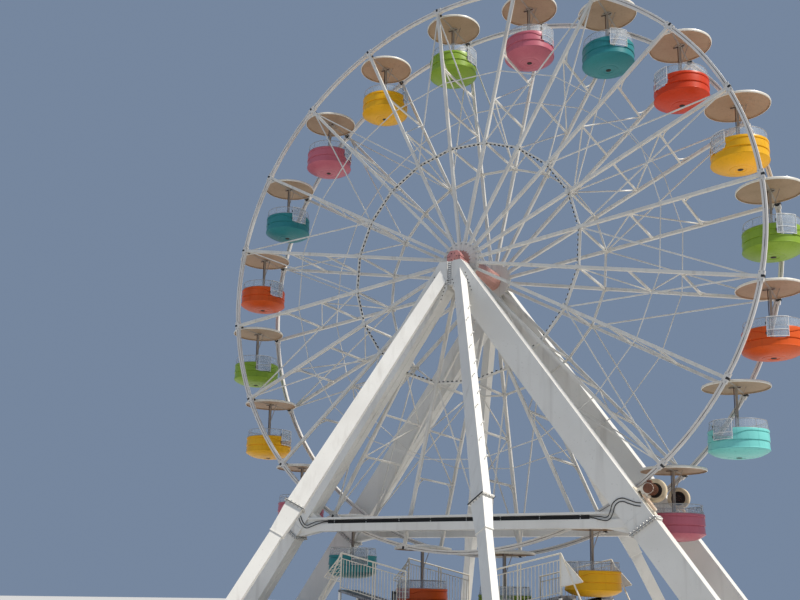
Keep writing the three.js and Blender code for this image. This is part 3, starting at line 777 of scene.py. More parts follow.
class Finish(Enum):
    """Every finish of the ride."""

    FRAME_WHITE = WeatheredPaint("frame_white", 0xE9E6DF, amount=0.32, scale=0.55, gloss=0.4)
    LATTICE_WHITE = WeatheredPaint("lattice_white", 0xE2DED5, amount=0.4, scale=1.1, gloss=0.42)
    RIM_WHITE = WeatheredPaint("rim_white", 0xE4DFD8, amount=0.35, scale=1.4, gloss=0.38)
    # Darker paint for the faces of the rims' grooves: painted shade in the recess.
    RIM_GROOVE = WeatheredPaint("rim_groove", 0x8A7F78, grime=0x4A4440, amount=0.5, scale=3.0, gloss=0.6)
    JOINT_BLACK = WeatheredPaint("joint_black", 0x1C1D1F, grime=0x4A433B, amount=0.5, scale=6.0, gloss=0.45)
    BEARING_PINK = WeatheredPaint("bearing_pink", 0xC98A84, grime=0x6B3F38, amount=0.5, scale=3.0, gloss=0.4)
    STRIP_GREY = WeatheredPaint("strip_grey", 0x8F8A85, grime=0x4A4540, amount=0.5, scale=5.0, gloss=0.45)
    HUB_ROSE = WeatheredPaint("hub_rose", 0xD09A8C, grime=0x6B3F38, amount=0.5, scale=3.0, gloss=0.4)
    BOLT_ZINC = WeatheredPaint("bolt_zinc", 0xC9C7C2, grime=0x5E4A3A, amount=0.5, scale=14.0, gloss=0.3,
                               metallic=0.7)
    BOLT_DARK = WeatheredPaint("bolt_dark", 0x3A3632, grime=0x6A4B36, amount=0.6, scale=14.0, gloss=0.4,
                               metallic=0.6)
    CANOPY_TOP = WeatheredPaint("canopy_top", 0xF2EBDD, grime=0x8E8272, amount=0.35, scale=1.8, gloss=0.35,
                                coat=0.2)
    # A darker warm brown for the canopy's downward faces: painted shade of the underside.
    CANOPY_LINING = WeatheredPaint("canopy_lining", 0xAE9073, grime=0x7C624B, amount=0.45, scale=2.0,
                                   gloss=0.55)
    POST_BROWN = WeatheredPaint("post_brown", 0xA39688, grime=0x54453A, amount=0.5, scale=3.0, gloss=0.45)
    HOOP_WHITE = WeatheredPaint("hoop_white", 0xE6E6E4, grime=0x77716A, amount=0.35, scale=8.0, gloss=0.35)
    HOOP_GREY = WeatheredPaint("hoop_grey", 0xA9A6A2, grime=0x4E4A47, amount=0.4, scale=8.0, gloss=0.3)
    # Dark paint for the bar beside each post, painted shade of the post's shadowed side, and for the tee
    # bracket under the canopy.
    STAY_DARK = WeatheredPaint("stay_dark", 0x4B3024, grime=0x211510, amount=0.6, scale=5.0, gloss=0.5)
    GUARD_FILM = ClearSheet("guard_film", 0xCDD6DE, around=48.0, upward=1.0, film=0.15)
    GATE_FILM = ClearSheet("gate_film", 0xC3CBD2, around=24.0, upward=1.0, film=0.30)
    MOTOR_BROWN = WeatheredPaint("motor_brown", 0x7A4B33, grime=0x2B1C14, amount=0.7, scale=7.0, gloss=0.45,
                                 metallic=0.2)
    SPRING_CREAM = WeatheredPaint("spring_cream", 0xE3C9AE, grime=0x6D4A36, amount=0.5, scale=6.0)
    TYRE_CREAM = ScuffedSkin("tyre_cream", 0xDDC9A8, 0x8E7A62, 24.0)
    WHEEL_DARK = ScuffedSkin("wheel_dark", 0x2A2320, 0x6B4A38, 40.0, 0.3)
    CABLE_SHEATH = ScuffedSkin("cable_sheath", 0x101011, 0x3A3A3C, 60.0)
    DECK_TREAD = TreadPlate("deck_tread", 0x8F9094, 0x3C3833)
    RAIL_CREAM = WeatheredPaint("rail_cream", 0xE8DFCD, grime=0x7D6B55, amount=0.4, scale=4.0, gloss=0.35)
    BULB_OPAL = WeatheredPaint("bulb_opal", 0xEDEBE4, grime=0x8A8478, amount=0.3, scale=20.0, gloss=0.12,
                               coat=0.6)
    TUB_YELLOW = Laminate("laminate_yellow", 0xF2B41E, grime=0xA26A12)
    TUB_GREEN = Laminate("laminate_green", 0x8CAA3A, grime=0x4A6B1E)
    TUB_ORANGE = Laminate("laminate_orange", 0xDE5C22, grime=0x8C3413)
    TUB_TEAL = Laminate("laminate_teal", 0x34868A, grime=0x1D5F62)
    TUB_PINK = Laminate("laminate_pink", 0xC66C7A, grime=0x8A3345)
    TUB_RED = Laminate("laminate_red", 0xD2401C, grime=0x84200F)
    TUB_TURQUOISE = Laminate("laminate_turquoise", 0x7FD3CC, grime=0x24777B)

    @property
    def material(self) -> bpy.types.Material:
        """The finish's material, built the first time it is used."""
        found = bpy.data.materials.get(self.value.name)
        return found or self.value.material()


# Small fittings


def bolts(name: str, spots: Sequence[tuple[Point, Point]], radius: float,
          finish: Finish = Finish.BOLT_ZINC) -> bpy.types.Object:
    """Hexagon bolts with washers.

    Args:
        name: the piece's name.
        spots: where each bolt sits, and which way its head points.
        radius: the head's radius.
        finish: their finish.

    Returns:
        All the bolts as one piece.
    """
    washer = Workpiece.drum(f"{name}_washer", (0, 0, 0), (0, 0, radius * 0.18), radius * 1.35, 10)
    head = Workpiece.drum(f"{name}_head", (0, 0, radius * 0.18), (0, 0, radius * 0.85), radius, 6)
    head.faces(TOP).inset(radius * 0.4).extrude((0, 0, radius * 0.35))
    master = joined(name, [washer.done(), head.done()])
    master.data.materials.append(finish.material)
    places = []
    for spot, facing in spots:
        side = (0, 0, 1) if abs(Vector(facing).normalized().z) < 0.9 else (1, 0, 0)
        places.append(frame_along(spot, Vector(spot) + Vector(facing), side))
    return repeated(name, master, places)


# Wheel


@dataclass
class Rim:
    """One round rim: a channel with a groove in both faces, joint plates and pivot bearings."""

    name: str
    inner: float = 9.134
    outer: float = 9.262
    half: float = 0.055
    lip: float = 0.0535
    groove: float = 0.012
    steps: int = 160
    plate: tuple[float, float, float] = (0.30, 0.126, 0.168)

    def channel(self, y: float) -> bpy.types.Object:
        """Turns the ring and sinks its grooves, whose faces are painted darker: painted shade in the recess.

        Args:
            y: the rim's place along the axle.

        Returns:
            The channel.
        """
        section = [(self.inner, -self.half), (self.outer, -self.half), (self.outer, self.half),
                   (self.inner, self.half), (self.inner, -self.half)]
        ring = Workpiece.turned(f"{self.name}_channel", section, self.steps, "Y", HUB + Vector((0, y, 0)))
        ring.wear(Finish.RIM_WHITE, Finish.RIM_GROOVE)
        for facing in BOTH:
            ring.faces(looks((0, facing, 0)))
            # the groove faces take the darker paint, painted shade in the recess
            ring.inset(self.lip).extrude((0, -facing * self.groove, 0)).mark(1)
        return ring.eased(0.004, 1, 50).done()

    def joints(self, y: float) -> bpy.types.Object:
        """Joint plates with their dark packing strip, at every gondola."""
        long, wide, deep = (size / 2 for size in self.plate)
        plate = Workpiece.block("plate", (-long, -wide, -deep), (long, wide, deep))
        plate.wear(Finish.RIM_WHITE, Finish.JOINT_BLACK)
        plate.faces(ENDS_Y).inset(0.014, True)
        plate.extrude((0, 0, 0)).resize((1, 0.95, 1), (0, 0, 0))
        strip = Workpiece.block("strip", (-0.034, -wide - 0.005, 0.0), (0.034, wide + 0.005, deep + 0.008))
        strip.wear(Finish.JOINT_BLACK)
        strip.faces(TOP).inset(0.01).extrude((0, 0, 0.006))
        master = joined("joint", [plate.eased(0.005).done(), strip.eased(0.003).done()])
        places = [at_gondola(PIVOT_RADIUS, k, y) for k in range(GONDOLAS)]
        return repeated(f"{self.name}_joints", master, places)

    def bearings(self, y: float, side: int) -> bpy.types.Object:
        """Pivot bearings on the rim's inner side.

        Args:
            y: the rim's place along the axle.
            side: -1 for the front rim and 1 for the back one.

        Returns:
            The twenty bearings.
        """
        face = y - side * self.plate[1] / 2
        profile = [(0.0, 0.0), (0.078, 0.0), (0.078, 0.008), (0.058, 0.012), (0.055, 0.025), (0.0, 0.027)]
        housing = Workpiece.turned("bearing", profile, 20, "Z").wear(Finish.JOINT_BLACK)
        places = [frame_along(on_wheel(PIVOT_RADIUS, gondola_angle(k), face),
                              on_wheel(PIVOT_RADIUS, gondola_angle(k), face - side), (0, 0, 1))
                  for k in range(GONDOLAS)]
        return repeated(f"{self.name}_pivot_bearings", housing.done(), places)

    def plate_bolts(self, y: float) -> bpy.types.Object:
        """Four bolts on each outer face of every joint plate."""
        facing = 1 if y > 0 else -1
        face = y + facing * self.plate[1] / 2
        spots = [(on_wheel(PIVOT_RADIUS + radius, gondola_angle(k) + along / PIVOT_RADIUS, face),
                  (0, facing, 0))
                 for k in range(GONDOLAS) for along in (-0.11, 0.11) for radius in (-0.05, 0.05)]
        return bolts(f"{self.name}_bolts", spots, 0.014)

    def build(self) -> None:
        """Makes the rim and hands it to the wheel."""
        side = SIDES[self.name.split("_")[0]]
        y = side * FACE
        fit(self.channel(y), "wheel", "rim_steel", self.name)
        fit(self.joints(y), "wheel", "rim_steel")
        fit(self.bearings(y, side), "wheel", "dark_steel")
        fit(self.plate_bolts(y), "wheel", "rim_steel")


@dataclass
class Spokework:
    """What dresses the spokes: ring plates, knees at the outer struts, lamps and hub bolts."""

    ring_radius: float = 4.0
    strut_radius: float = 7.03
    knee_radius: float = 0.40
    knee_reach: float = 1.10
    knee_bar: float = 0.036
    lamps_per_field: int = 8
    plate_face: float = FACE + 0.062
    flange_face: float = FACE + 0.065
    bolt_circle: float = 0.57

    def knees(self) -> bpy.types.Object:
        """Curved knees from each outer strut to the spokes at either side."""
        half = self.knee_bar / 2
        section = [(self.knee_radius - half, -half), (self.knee_radius + half, -half),
                   (self.knee_radius + half, half), (self.knee_radius - half, half)]
        knee = Workpiece.turned("knee", section, 8, "Z", (0, 0, 0), math.pi / 2)
        knee.wear(Finish.LATTICE_WHITE).eased(0.006)
        places = []
        for k in range(GONDOLAS):
            angle = gondola_angle(k)
            outwards = on_wheel(1, angle, 0) - HUB
            for side in BOTH:
                centre = on_wheel(self.strut_radius + self.knee_radius, angle,
                                  side * (self.knee_reach - self.knee_radius))
                first = Vector((0, side, 0))
                turn = Matrix((first, -outwards, first.cross(-outwards))).transposed().to_4x4()
                places.append(Matrix.Translation(centre) @ turn)
        return repeated("strut_knees", knee.done(), places)

    def ring_plates(self) -> bpy.types.Object:
        """Gusset plates where the middle rings meet the spokes."""
        plate = Workpiece.block("gusset", (-0.10, -0.005, -0.09), (0.10, 0.005, 0.09))
        plate.faces(TOP).resize((0.5, 1, 1), (0, 0, 0))
        plate.wear(Finish.LATTICE_WHITE).eased(0.003)
        places = [at_gondola(self.ring_radius, k, side * self.plate_face)
                  for k in range(GONDOLAS) for side in BOTH]
        return repeated("ring_plates", plate.done(), places)

    def plate_bolts(self) -> bpy.types.Object:
        """Two bolts on every ring plate."""
        spots = [(on_wheel(self.ring_radius, gondola_angle(k) + along / self.ring_radius,
                           side * (self.plate_face + 0.005)), (0, side, 0))
                 for k in range(GONDOLAS) for side in BOTH for along in (-0.065, 0.065)]
        return bolts("ring_plate_bolts", spots, 0.014)

    def hub_bolts(self) -> bpy.types.Object:
        """Bolt circles on both hub flanges."""
        spots = [(on_wheel(self.bolt_circle, gondola_angle(k + 0.5), side * self.flange_face), (0, side, 0))
                 for side in BOTH for k in range(GONDOLAS)]
        return bolts("hub_bolts", spots, 0.024)

    def lamps(self) -> bpy.types.Object:
        """Lamp sockets with their bulbs along the inward side of the front middle ring."""
        profile = [(0.0, 0.040), (0.010, 0.040), (0.015, 0.047), (0.015, 0.052), (0.010, 0.060), (0.0, 0.063)]
        bulb = Workpiece.turned("bulb", profile, 6).wear(Finish.BULB_OPAL).done()
        socket = Workpiece.block("socket", (-0.022, -0.034, 0.0), (0.022, 0.034, 0.040))
        socket.faces(TOP).resize((0.8, 0.8, 1), (0, 0, 0))
        lamp = joined("lamp", [socket.wear(Finish.JOINT_BLACK).eased(0.004).done(), bulb])
        places = []
        count = self.lamps_per_field
        for k in range(GONDOLAS):
            start = on_wheel(self.ring_radius, gondola_angle(k), -FACE)
            end = on_wheel(self.ring_radius, gondola_angle(k + 1), -FACE)
            inwards = (HUB - Vector((0, FACE, 0)) - start.lerp(end, 0.5)).normalized()
            for i in range(count):
                spot = start.lerp(end, (i + 0.5) / count) + inwards * 0.022
                places.append(frame_along(spot, spot + inwards, end - start))
        return repeated("ring_lamps", lamp, places)

    def hub_covers(self) -> bpy.types.Object:
        """Thin cover rings on both hub flanges, inside the bolt circles."""
        parts = []
        profile = [(0.200, 0.0), (0.200, 0.004), (0.210, 0.006), (0.350, 0.006), (0.360, 0.004),
                   (0.360, 0.0), (0.200, 0.0)]
        for side in BOTH:
            ring = Workpiece.turned("cover", profile, 48).wear(Finish.HUB_ROSE)
            ring.moved(frame_along((0, side * self.flange_face, HUB.z), (0, side * 2.0, HUB.z), (0, 0, 1)))
            parts.append(ring.done())
        return joined("hub_covers", parts)

    def spoke_ends(self) -> bpy.types.Object:
        """The spokes' tapered inner ends, which lie on both hub flanges."""
        taper = [(-0.024, 0.25), (0.024, 0.25), (0.045, 0.665), (-0.045, 0.665)]
        end = Workpiece.plate("spoke_end", [(x, -0.014, z) for x, z in taper], (0, 0.028, 0))
        end.wear(Finish.LATTICE_WHITE).eased(0.004)
        places = [at_gondola(0, k, side * self.flange_face) for k in range(GONDOLAS) for side in BOTH]
        return repeated("spoke_ends", end.done(), places)

    def build(self) -> None:
        """Makes the fittings and hands them to the wheel."""
        fit_all("wheel", "white_steel", self.knees(), self.ring_plates(), self.plate_bolts())
        fit(self.hub_bolts(), "wheel", "dark_steel")
        fit(self.hub_covers(), "wheel", "hub_red")
        fit_all("wheel", "white_steel", self.spoke_ends(), self.lamps())


# Gondolas

TUB_ORDER = [
    "pink", "yellow", "green", "orange", "teal", "pink", "yellow", "green", "pink", "teal",
    "red", "yellow", "green", "orange", "turquoise", "pink", "yellow", "green", "orange", "teal",
]
DOORWAY_TURN = [
    60, 92, 58, 78, 69, 100, 107, 85, 74, 43, -35, -37, 38, 20, -19, 150, -30, 20, -20, 50,
]


@dataclass
class Gondolas:
    """The twenty gondolas, made once about their pivot and copied."""

    canopy: list[tuple[float, float]] = field(default_factory=lambda: [
        (0.0, 0.118), (0.20, 0.112), (0.45, 0.088), (0.70, 0.054), (0.895, 0.018), (0.916, 0.008),
        (0.924, -0.012), (0.9245, -0.042), (0.918, -0.057), (0.903, -0.060), (0.893, -0.050),
        (0.886, -0.024), (0.60, -0.018), (0.25, -0.015), (0.0, -0.015),
    ])
    shell: list[tuple[float, float]] = field(default_factory=lambda: [
        (0.0, -1.998), (0.160, -1.998), (0.170, -2.010), (0.300, -2.008), (0.314, -1.997),
        (0.330, -2.002), (0.400, -1.997), (0.520, -1.976), (0.630, -1.941), (0.720, -1.894),
        (0.790, -1.848), (0.811, -1.830), (0.817, -1.818), (0.8165, -1.804), (0.806, -1.792),
        (0.794, -1.624),
        (0.780, -1.614), (0.780, -1.600), (0.812, -1.590), (0.812, -1.578), (0.797, -1.376),
        (0.784, -1.368), (0.784, -1.354), (0.808, -1.344), (0.8065, -1.292), (0.800, -1.278),
        (0.786, -1.2755), (0.776, -1.288), (0.764, -1.34), (0.768, -1.47), (0.756, -1.495),
        (0.510, -1.500), (0.486, -1.512), (0.479, -1.545), (0.476, -1.835), (0.460, -1.850),
        (0.115, -1.850), (0.088, -1.838), (0.080, -1.50), (0.090, -1.452), (0.0, -1.441),
    ])
    doorway_half: float = 0.285
    doorway_sill: float = -1.60
    doorway_corner: float = 0.12
    doorway_reach: float = 0.56
    guard_foot: float = -1.280
    guard_top: float = -1.022
    foot_radius: float = 0.789
    top_radius: float = 0.752
    gate_radius: float = 0.822
    gate_half_turn: float = math.radians(19.5)
    gate_foot: float = -1.575
    gate_middle: float = -1.390
    gate_top: float = -1.030
    gate_tube: float = 0.018
    dip: float = 0.095
    dip_from: float = math.radians(20)
    dip_to: float = math.radians(52)

    def guard_at(self, height: float) -> float:
        """The guard's radius, which shrinks upwards."""
        share = (height - self.guard_foot) / (self.guard_top - self.guard_foot)
        return self.foot_radius + (self.top_radius - self.foot_radius) * share

    def make_canopy(self) -> bpy.types.Object:
        """The round canopy: a thin dished shell with a rolled edge, its downward faces painted a darker warm
        brown as painted shade.
        """
        made = Workpiece.turned("canopy", self.canopy, 64)
        made.wear(Finish.CANOPY_TOP, Finish.CANOPY_LINING)
        # faces that look down take the darker brown: painted shade of the underside
        made.faces(lambda middle, normal: normal.z < -0.2 and middle.xy.length < 0.9).mark(1)
        return made.done(28)

    def make_post(self) -> bpy.types.Object:
        """Middle post with its flange and collar, and the pivot tube with end collars."""
        profile = [(0.0, -0.016), (0.150, -0.016), (0.150, -0.028), (0.050, -0.032), (0.037, -0.050),
                   (0.037, -1.385), (0.074, -1.392), (0.076, -1.425), (0.060, -1.432), (0.0, -1.434)]
        post = Workpiece.turned("post", profile, 20).wear(Finish.POST_BROWN)
        # A dark bar beside the post: painted shade of the post's shadowed side.
        stay = Workpiece.bar("stay", (-0.064, 0, -0.03), (-0.054, 0, -1.39), 0.020, 0.030)
        tee = Workpiece.block("tee", (-0.20, -0.022, -0.046), (0.12, 0.022, -0.028))
        brace = Workpiece.bar("brace", (0.26, 0, -0.03), (0.03, 0, -0.62), 0.018, 0.024)
        axle = Workpiece.drum("axle", (0, -1.088, 0), (0, 1.088, 0), 0.036, 16)
        axle.wear(Finish.POST_BROWN)
        axle.faces(ENDS_Y).inset(0.012, True)
        parts = [post.done(), axle.done(), brace.wear(Finish.POST_BROWN).eased(0.004).done()]
        # the dark bar is painted shade; the tee is a dark bracket
        parts += [made.wear(Finish.STAY_DARK).eased(0.004).done() for made in (stay, tee)]
        for side in BOTH:
            collar = Workpiece.drum("collar", (0, side * 0.955, 0), (0, side * 1.045, 0), 0.052, 16)
            collar.faces(ENDS_Y).inset(0.008, True)
            parts.append(collar.wear(Finish.JOINT_BLACK).eased(0.004).done())
        spots = [((0.115 * math.cos(angle), 0.115 * math.sin(angle), -0.028), (0, 0, -1))
                 for angle in (turn * math.pi / 3 for turn in range(6))]
        parts.append(bolts("flange_bolts", spots, 0.010, Finish.BOLT_DARK))
        return joined("post", parts)

    def doorway_cutter(self) -> Workpiece:
        """The shape that leaves the U of the doorway."""
        corners = []
        centre_x = self.doorway_half - self.doorway_corner
        centre_z = self.doorway_sill + self.doorway_corner
        for step in range(6):
            angle = -math.pi / 2 + step * math.pi / 10
            corners.append((centre_x + self.doorway_corner * math.cos(angle),
                            centre_z + self.doorway_corner * math.sin(angle)))
        corners.append((self.doorway_half, -1.10))
        return Workpiece.plate("doorway", [(x, -0.95, z) for x, z in mirrored(corners)],
                               (0, 0.95 - 0.905 + self.doorway_reach, 0))

    def make_shell(self) -> bpy.types.Object:
        """The moulded tub: its upper groove dips towards the doorway, which is cut out of it."""
        made = Workpiece.turned("shell", self.shell, 64)
        for step in range(-9, 10):
            turn = step * math.pi / 32
            share = min(max((abs(turn) - self.dip_from) / (self.dip_to - self.dip_from), 0.0), 1.0)
            made.corners(lambda spot, t=turn: -1.38 < spot.z < -1.34 and spot.xy.length > 0.775
                         and abs(math.atan2(spot.x, -spot.y) - t) < 0.01)
            made.shift((0, 0, -self.dip * (1 - share * share * (3 - 2 * share))))
        made.cut_by(self.doorway_cutter())
        return made.done(30)

    def make_guard(self) -> bpy.types.Object:
        """The see-through guard above the edge, its hoops and uprights, and the cap under the tub."""
        band = Workpiece.drum("band", (0, 0, self.guard_foot), (0, 0, self.guard_top), self.foot_radius, 64,
                              False)
        shrink = self.top_radius / self.foot_radius
        band.corners(lambda spot: spot.z > self.guard_top - 0.01).resize((shrink, shrink, 1), (0, 0, 0))
        band.wear(Finish.GUARD_FILM).modify("SOLIDIFY", thickness=0.003, offset=0)
        base = Workpiece.turned("base", [(0.0, -2.0105), (0.060, -2.0105), (0.078, -2.004), (0.084, -1.996),
                                         (0.0, -1.996)], 24)
        parts = [band.done(), base.wear(Finish.WHEEL_DARK).done()]
        for height, thick in ((self.guard_top, 0.009), (self.guard_foot + 0.012, 0.006)):
            deselect()
            bpy.ops.mesh.primitive_torus_add(major_radius=self.guard_at(height), minor_radius=thick,
                                             major_segments=64, minor_segments=8, location=(0, 0, height))
            bpy.ops.object.transform_apply(location=True, rotation=True, scale=True)
            parts.append(Workpiece(bpy.context.object).wear(Finish.HOOP_GREY).done())
        for number in range(8):
            angle = (number + 0.5) * math.pi / 4
            foot, top = ((radius * math.cos(angle), radius * math.sin(angle), height) for radius, height in
                         ((self.foot_radius, self.guard_foot), (self.top_radius, self.guard_top)))
            upright = Workpiece.drum("upright", foot, top, 0.006, 8)
            parts.append(upright.wear(Finish.HOOP_GREY).done())
        return joined("guard", parts)

    def make_gate(self) -> bpy.types.Object:
        """The curved gate in front of the doorway: a bent frame round a clear sheet."""
        spread = self.gate_half_turn
        sheet = Workpiece.drum("sheet", (0, 0, self.gate_foot), (0, 0, self.gate_top), self.gate_radius, 80,
                               False)
        sheet.faces(lambda middle, normal: abs(math.atan2(middle.x, -middle.y)) > spread - 0.02).remove()
        sheet.wear(Finish.GATE_FILM).modify("SOLIDIFY", thickness=0.003, offset=0)
        parts = [sheet.done()]
        inner, outer = self.gate_radius - 0.008, self.gate_radius + 0.010
        half = self.gate_tube / 2
        for height in (self.gate_foot, self.gate_middle, self.gate_top):
            section = [(inner, height - half), (outer, height - half), (outer, height + half),
                       (inner, height + half)]
            rail = Workpiece.turned("rail", section, 12, "Z", (0, 0, 0), 2 * spread)
            rail.wear(Finish.HOOP_WHITE).eased(0.004)
            parts.append(rail.moved(Matrix.Rotation(-math.pi / 2 - spread, 4, "Z")).done())
        for turn in (-0.67 * spread, 0.67 * spread):
            x, y = (self.gate_radius * math.sin(turn), -self.gate_radius * math.cos(turn))
            bar = Workpiece.bar("bar", (x, y, self.gate_middle), (x, y, self.gate_top), 0.006, 0.006,
                                (x, y, 0))
            parts.append(bar.wear(Finish.HOOP_WHITE).eased(0.002).done())
        for side in BOTH:
            middle = self.gate_radius + 0.001
            x, y = (side * middle * math.sin(spread), -middle * math.cos(spread))
            upright = Workpiece.bar("upright", (x, y, self.gate_foot - half), (x, y, self.gate_top + half),
                                    self.gate_tube, self.gate_tube, (x, y, 0))
            parts.append(upright.wear(Finish.HOOP_WHITE).eased(0.004).done())
        x, y = (-0.828 * math.sin(spread + 0.03), -0.828 * math.cos(spread + 0.03))
        for height in (-1.52, -1.24):
            hinge = Workpiece.drum("hinge", (x, y, height), (x, y, height + 0.07), 0.013, 10)
            hinge.faces(ENDS_Z).inset(0.004, True)
            parts.append(hinge.wear(Finish.BOLT_DARK).done())
        return joined("gate", parts)

    def build(self) -> None:
        """Makes the masters, copies them to every pivot and throws them away."""
        masters = {"canopy": self.make_canopy(), "post": self.make_post(), "shell": self.make_shell(),
                   "guard": self.make_guard(), "gate": self.make_gate()}
        for k in range(GONDOLAS):
            label = f"{k:02d}"
            hung = Matrix.Translation(on_wheel(PIVOT_RADIUS, gondola_angle(k), 0))
            swung = hung @ Matrix.Rotation(math.radians(DOORWAY_TURN[k]), 4, "Z")
            cabin, tub = (f"cabin_{label}", f"cabin_tub_{label}")
            paint = Finish[f"TUB_{TUB_ORDER[k].upper()}"]
            fit(copied(masters["canopy"], f"canopy_{label}", hung), cabin, "canopy_cream", f"hanger_{label}")
            fit(copied(masters["post"], f"post_{label}", hung), cabin, "canopy_cream")
            shell = copied(masters["shell"], f"shell_{label}", swung)
            shell.data.materials.clear()
            shell.data.materials.append(paint.material)
            fit(shell, tub, f"tub_{TUB_ORDER[k]}", f"tub_{label}")
            fit(copied(masters["guard"], f"guard_{label}", swung), tub, "white_steel")
            fit(copied(masters["gate"], f"gate_{label}", swung), tub, "white_steel")
        for master in masters.values():
            bpy.data.objects.remove(master)


# Standing structure


@dataclass
class AFrame:
    """What dresses one A-frame: bearing, louvre in the head's slot, flange and anchor bolts."""

    name: str
    leg_width: float = 0.765
    leg_depth: float = 0.50
    axis_offset: float = -0.235
    flange_height: float = 3.47
    head_top: float = 11.80
    slot_bottom: float = 11.02
    block_depths: tuple[float, float] = (1.4215, 1.704)

    def leg_point(self, left: int, height: float, across: float, y: float) -> Vector:
        """A point in a leg's own directions.

        Args:
            left: -1 for the left leg and 1 for the right one.
            height: the height at which the leg's axis is taken.
            across: the distance from the axis, outwards and upwards.
            y: the place along the axle.

        Returns:
            The point.
        """
        down = HUB.z - height
        x = left * (self.axis_offset + down * math.tan(LEG_LEAN) + across * math.cos(LEG_LEAN))
        return Vector((x, y, height + across * math.sin(LEG_LEAN)))

    @staticmethod
    def leg_up(left: int) -> Vector:
        """The way up along a leg."""
        return Vector((-left * math.sin(LEG_LEAN), 0, math.cos(LEG_LEAN)))

    def bore(self, side: int) -> Workpiece:
        """The shape that bores a bearing for the shaft."""
        return Workpiece.drum("bore", (0, side * 1.3, HUB.z), (0, side * 1.8, HUB.z), 0.122, 32)

    def bearing(self, side: int) -> bpy.types.Object:
        """The split bearing block on the head, bored for the shaft, and its end cap."""
        half = [(0.362, self.head_top + 0.002), (0.362, 11.863), (0.238, 11.866), (0.238, 12.062),
                (0.131, 12.203)]
        back, front = (side * reach for reach in self.block_depths)
        block = Workpiece.plate("block", [(x, back, z) for x, z in mirrored(half)], (0, front - back, 0))
        block.eased(0.010, 2, 30).cut_by(self.bore(side)).wear(Finish.BEARING_PINK)
        joint = Workpiece.block("joint", (-0.242, min(back, front) - 0.002, HUB.z - 0.005),
                                (0.242, max(back, front) + 0.002, HUB.z + 0.005))
        joint.faces(ENDS_X).inset(0.002, True).cut_by(self.bore(side)).wear(Finish.JOINT_BLACK)
        profile = [(0.0, 0.004), (0.150, 0.004), (0.150, 0.016), (0.135, 0.024), (0.075, 0.026),
                   (0.060, 0.034), (0.0, 0.036)]
        cap = Workpiece.turned("cap", profile, 32).wear(Finish.BEARING_PINK)
        cap.moved(frame_along((0, side * 1.70, HUB.z), (0, side * 2.0, HUB.z), (0, 0, 1)))
        spots = [(on_wheel(0.118, math.pi / 6 + turn * math.pi / 3, side * 1.720), (0, side, 0))
                 for turn in range(6)]
        spots += [((x, side * y, 11.866), (0, 0, 1)) for x in (-0.30, 0.30) for y in (1.48, 1.64)]
        parts = [block.done(), joint.done(), cap.done(), bolts("cap_bolts", spots, 0.016, Finish.BOLT_DARK)]
        return joined(f"{self.name}_bearing", parts)

    def louvre(self, side: int) -> bpy.types.Object:
        """Ladder strip and joint lines in the slot between the legs' heads."""
        face = side * (LEG_FRONT - 0.06)
        parts = []
        for low, high, finish in ((-0.098, -0.090, Finish.JOINT_BLACK), (-0.088, -0.014, Finish.STRIP_GREY),
                                  (0.002, 0.010, Finish.JOINT_BLACK), (0.088, 0.096, Finish.JOINT_BLACK)):
            outline = [(x, face, z) for x, z in ((low, 11.05), (high, 11.05), (high, 11.78), (low, 11.78))]
            strip = Workpiece.plate("strip", outline, (0, side * 0.003, 0))
            parts.append(strip.wear(finish).done())
        rung = Workpiece.block("rung", (-0.098, -0.011, -0.019), (-0.006, 0.011, 0.019))
        rung.faces(ENDS_Y).inset(0.003, True)
        rung.wear(Finish.HOOP_WHITE).eased(0.002)
        places = [Matrix.Translation((0, face + side * 0.011, self.slot_bottom + 0.06 + number * 0.068))
                  for number in range(11)]
        parts.append(repeated("rungs", rung.done(), places))
        return joined(f"{self.name}_head_strips", parts)

    def flange_bolts(self, side: int) -> bpy.types.Object:
        """Bolts and nuts round both legs' splice flanges."""
        spots = []
        for left in BOTH:
            up = self.leg_up(left)
            lift = up * 0.025
            for number in range(8):
                across = (number - 3.5) * 0.108
                for y in (LEG_FRONT + 0.038, LEG_FRONT - self.leg_depth - 0.032):
                    spots.append((self.leg_point(left, self.flange_height, across, side * y) + lift, up))
            for number in range(4):
                y = side * (LEG_FRONT - 0.07 - number * 0.12)
                for across in (-0.4145, 0.4145):
                    spots.append((self.leg_point(left, self.flange_height, across, y) + lift, up))
        nuts = [(Vector(spot) - 0.05 * Vector(up), -Vector(up)) for spot, up in spots]
        return bolts(f"{self.name}_flange_bolts", spots + nuts, 0.033)

    def flange_shadow_strips(self, side: int) -> bpy.types.Object:
        """Dark strip between the halves of both splice flanges: painted shadow under each flange."""
        parts = []
        for left in BOTH:
            up = self.leg_up(left)
            corners = [self.leg_point(left, self.flange_height, across, side * y) - up * 0.006
                       for across, y in ((-0.4455, 1.354), (0.4455, 1.354), (0.4455, 1.986),
                                         (-0.4455, 1.986))]
            # a thin dark plate that paints the shadow line under the flange
            joint = Workpiece.plate("joint", corners, up * 0.012).eased(0.002)
            parts.append(joint.wear(Finish.JOINT_BLACK).done())
        return joined(f"{self.name}_flange_joints", parts)

    def doublers(self, side: int) -> bpy.types.Object:
        """Doubler plates with a slanting stiffener on the legs' faces, above the splice flanges."""
        parts = []
        for left in BOTH:
            up = self.leg_up(left)
            spots = [(-0.384, 0.024), (0.384, 0.024), (0.384, 0.330), (-0.384, 0.330)]
            corners = [self.leg_point(left, self.flange_height, across, side * LEG_FRONT) + up * lift
                       for across, lift in spots]
            plate = Workpiece.plate("doubler", corners, (0, side * 0.014, 0)).eased(0.004)
            foot, top = (self.leg_point(left, self.flange_height, across, side * (LEG_FRONT + 0.018))
                         + up * lift for across, lift in ((-0.20, 0.040), (-0.05, 0.318)))
            rib = Workpiece.bar("rib", foot, top, 0.016, 0.016, (0, side, 0)).eased(0.004)
            parts += [made.wear(Finish.FRAME_WHITE).done() for made in (plate, rib)]
        return joined(f"{self.name}_doublers", parts)

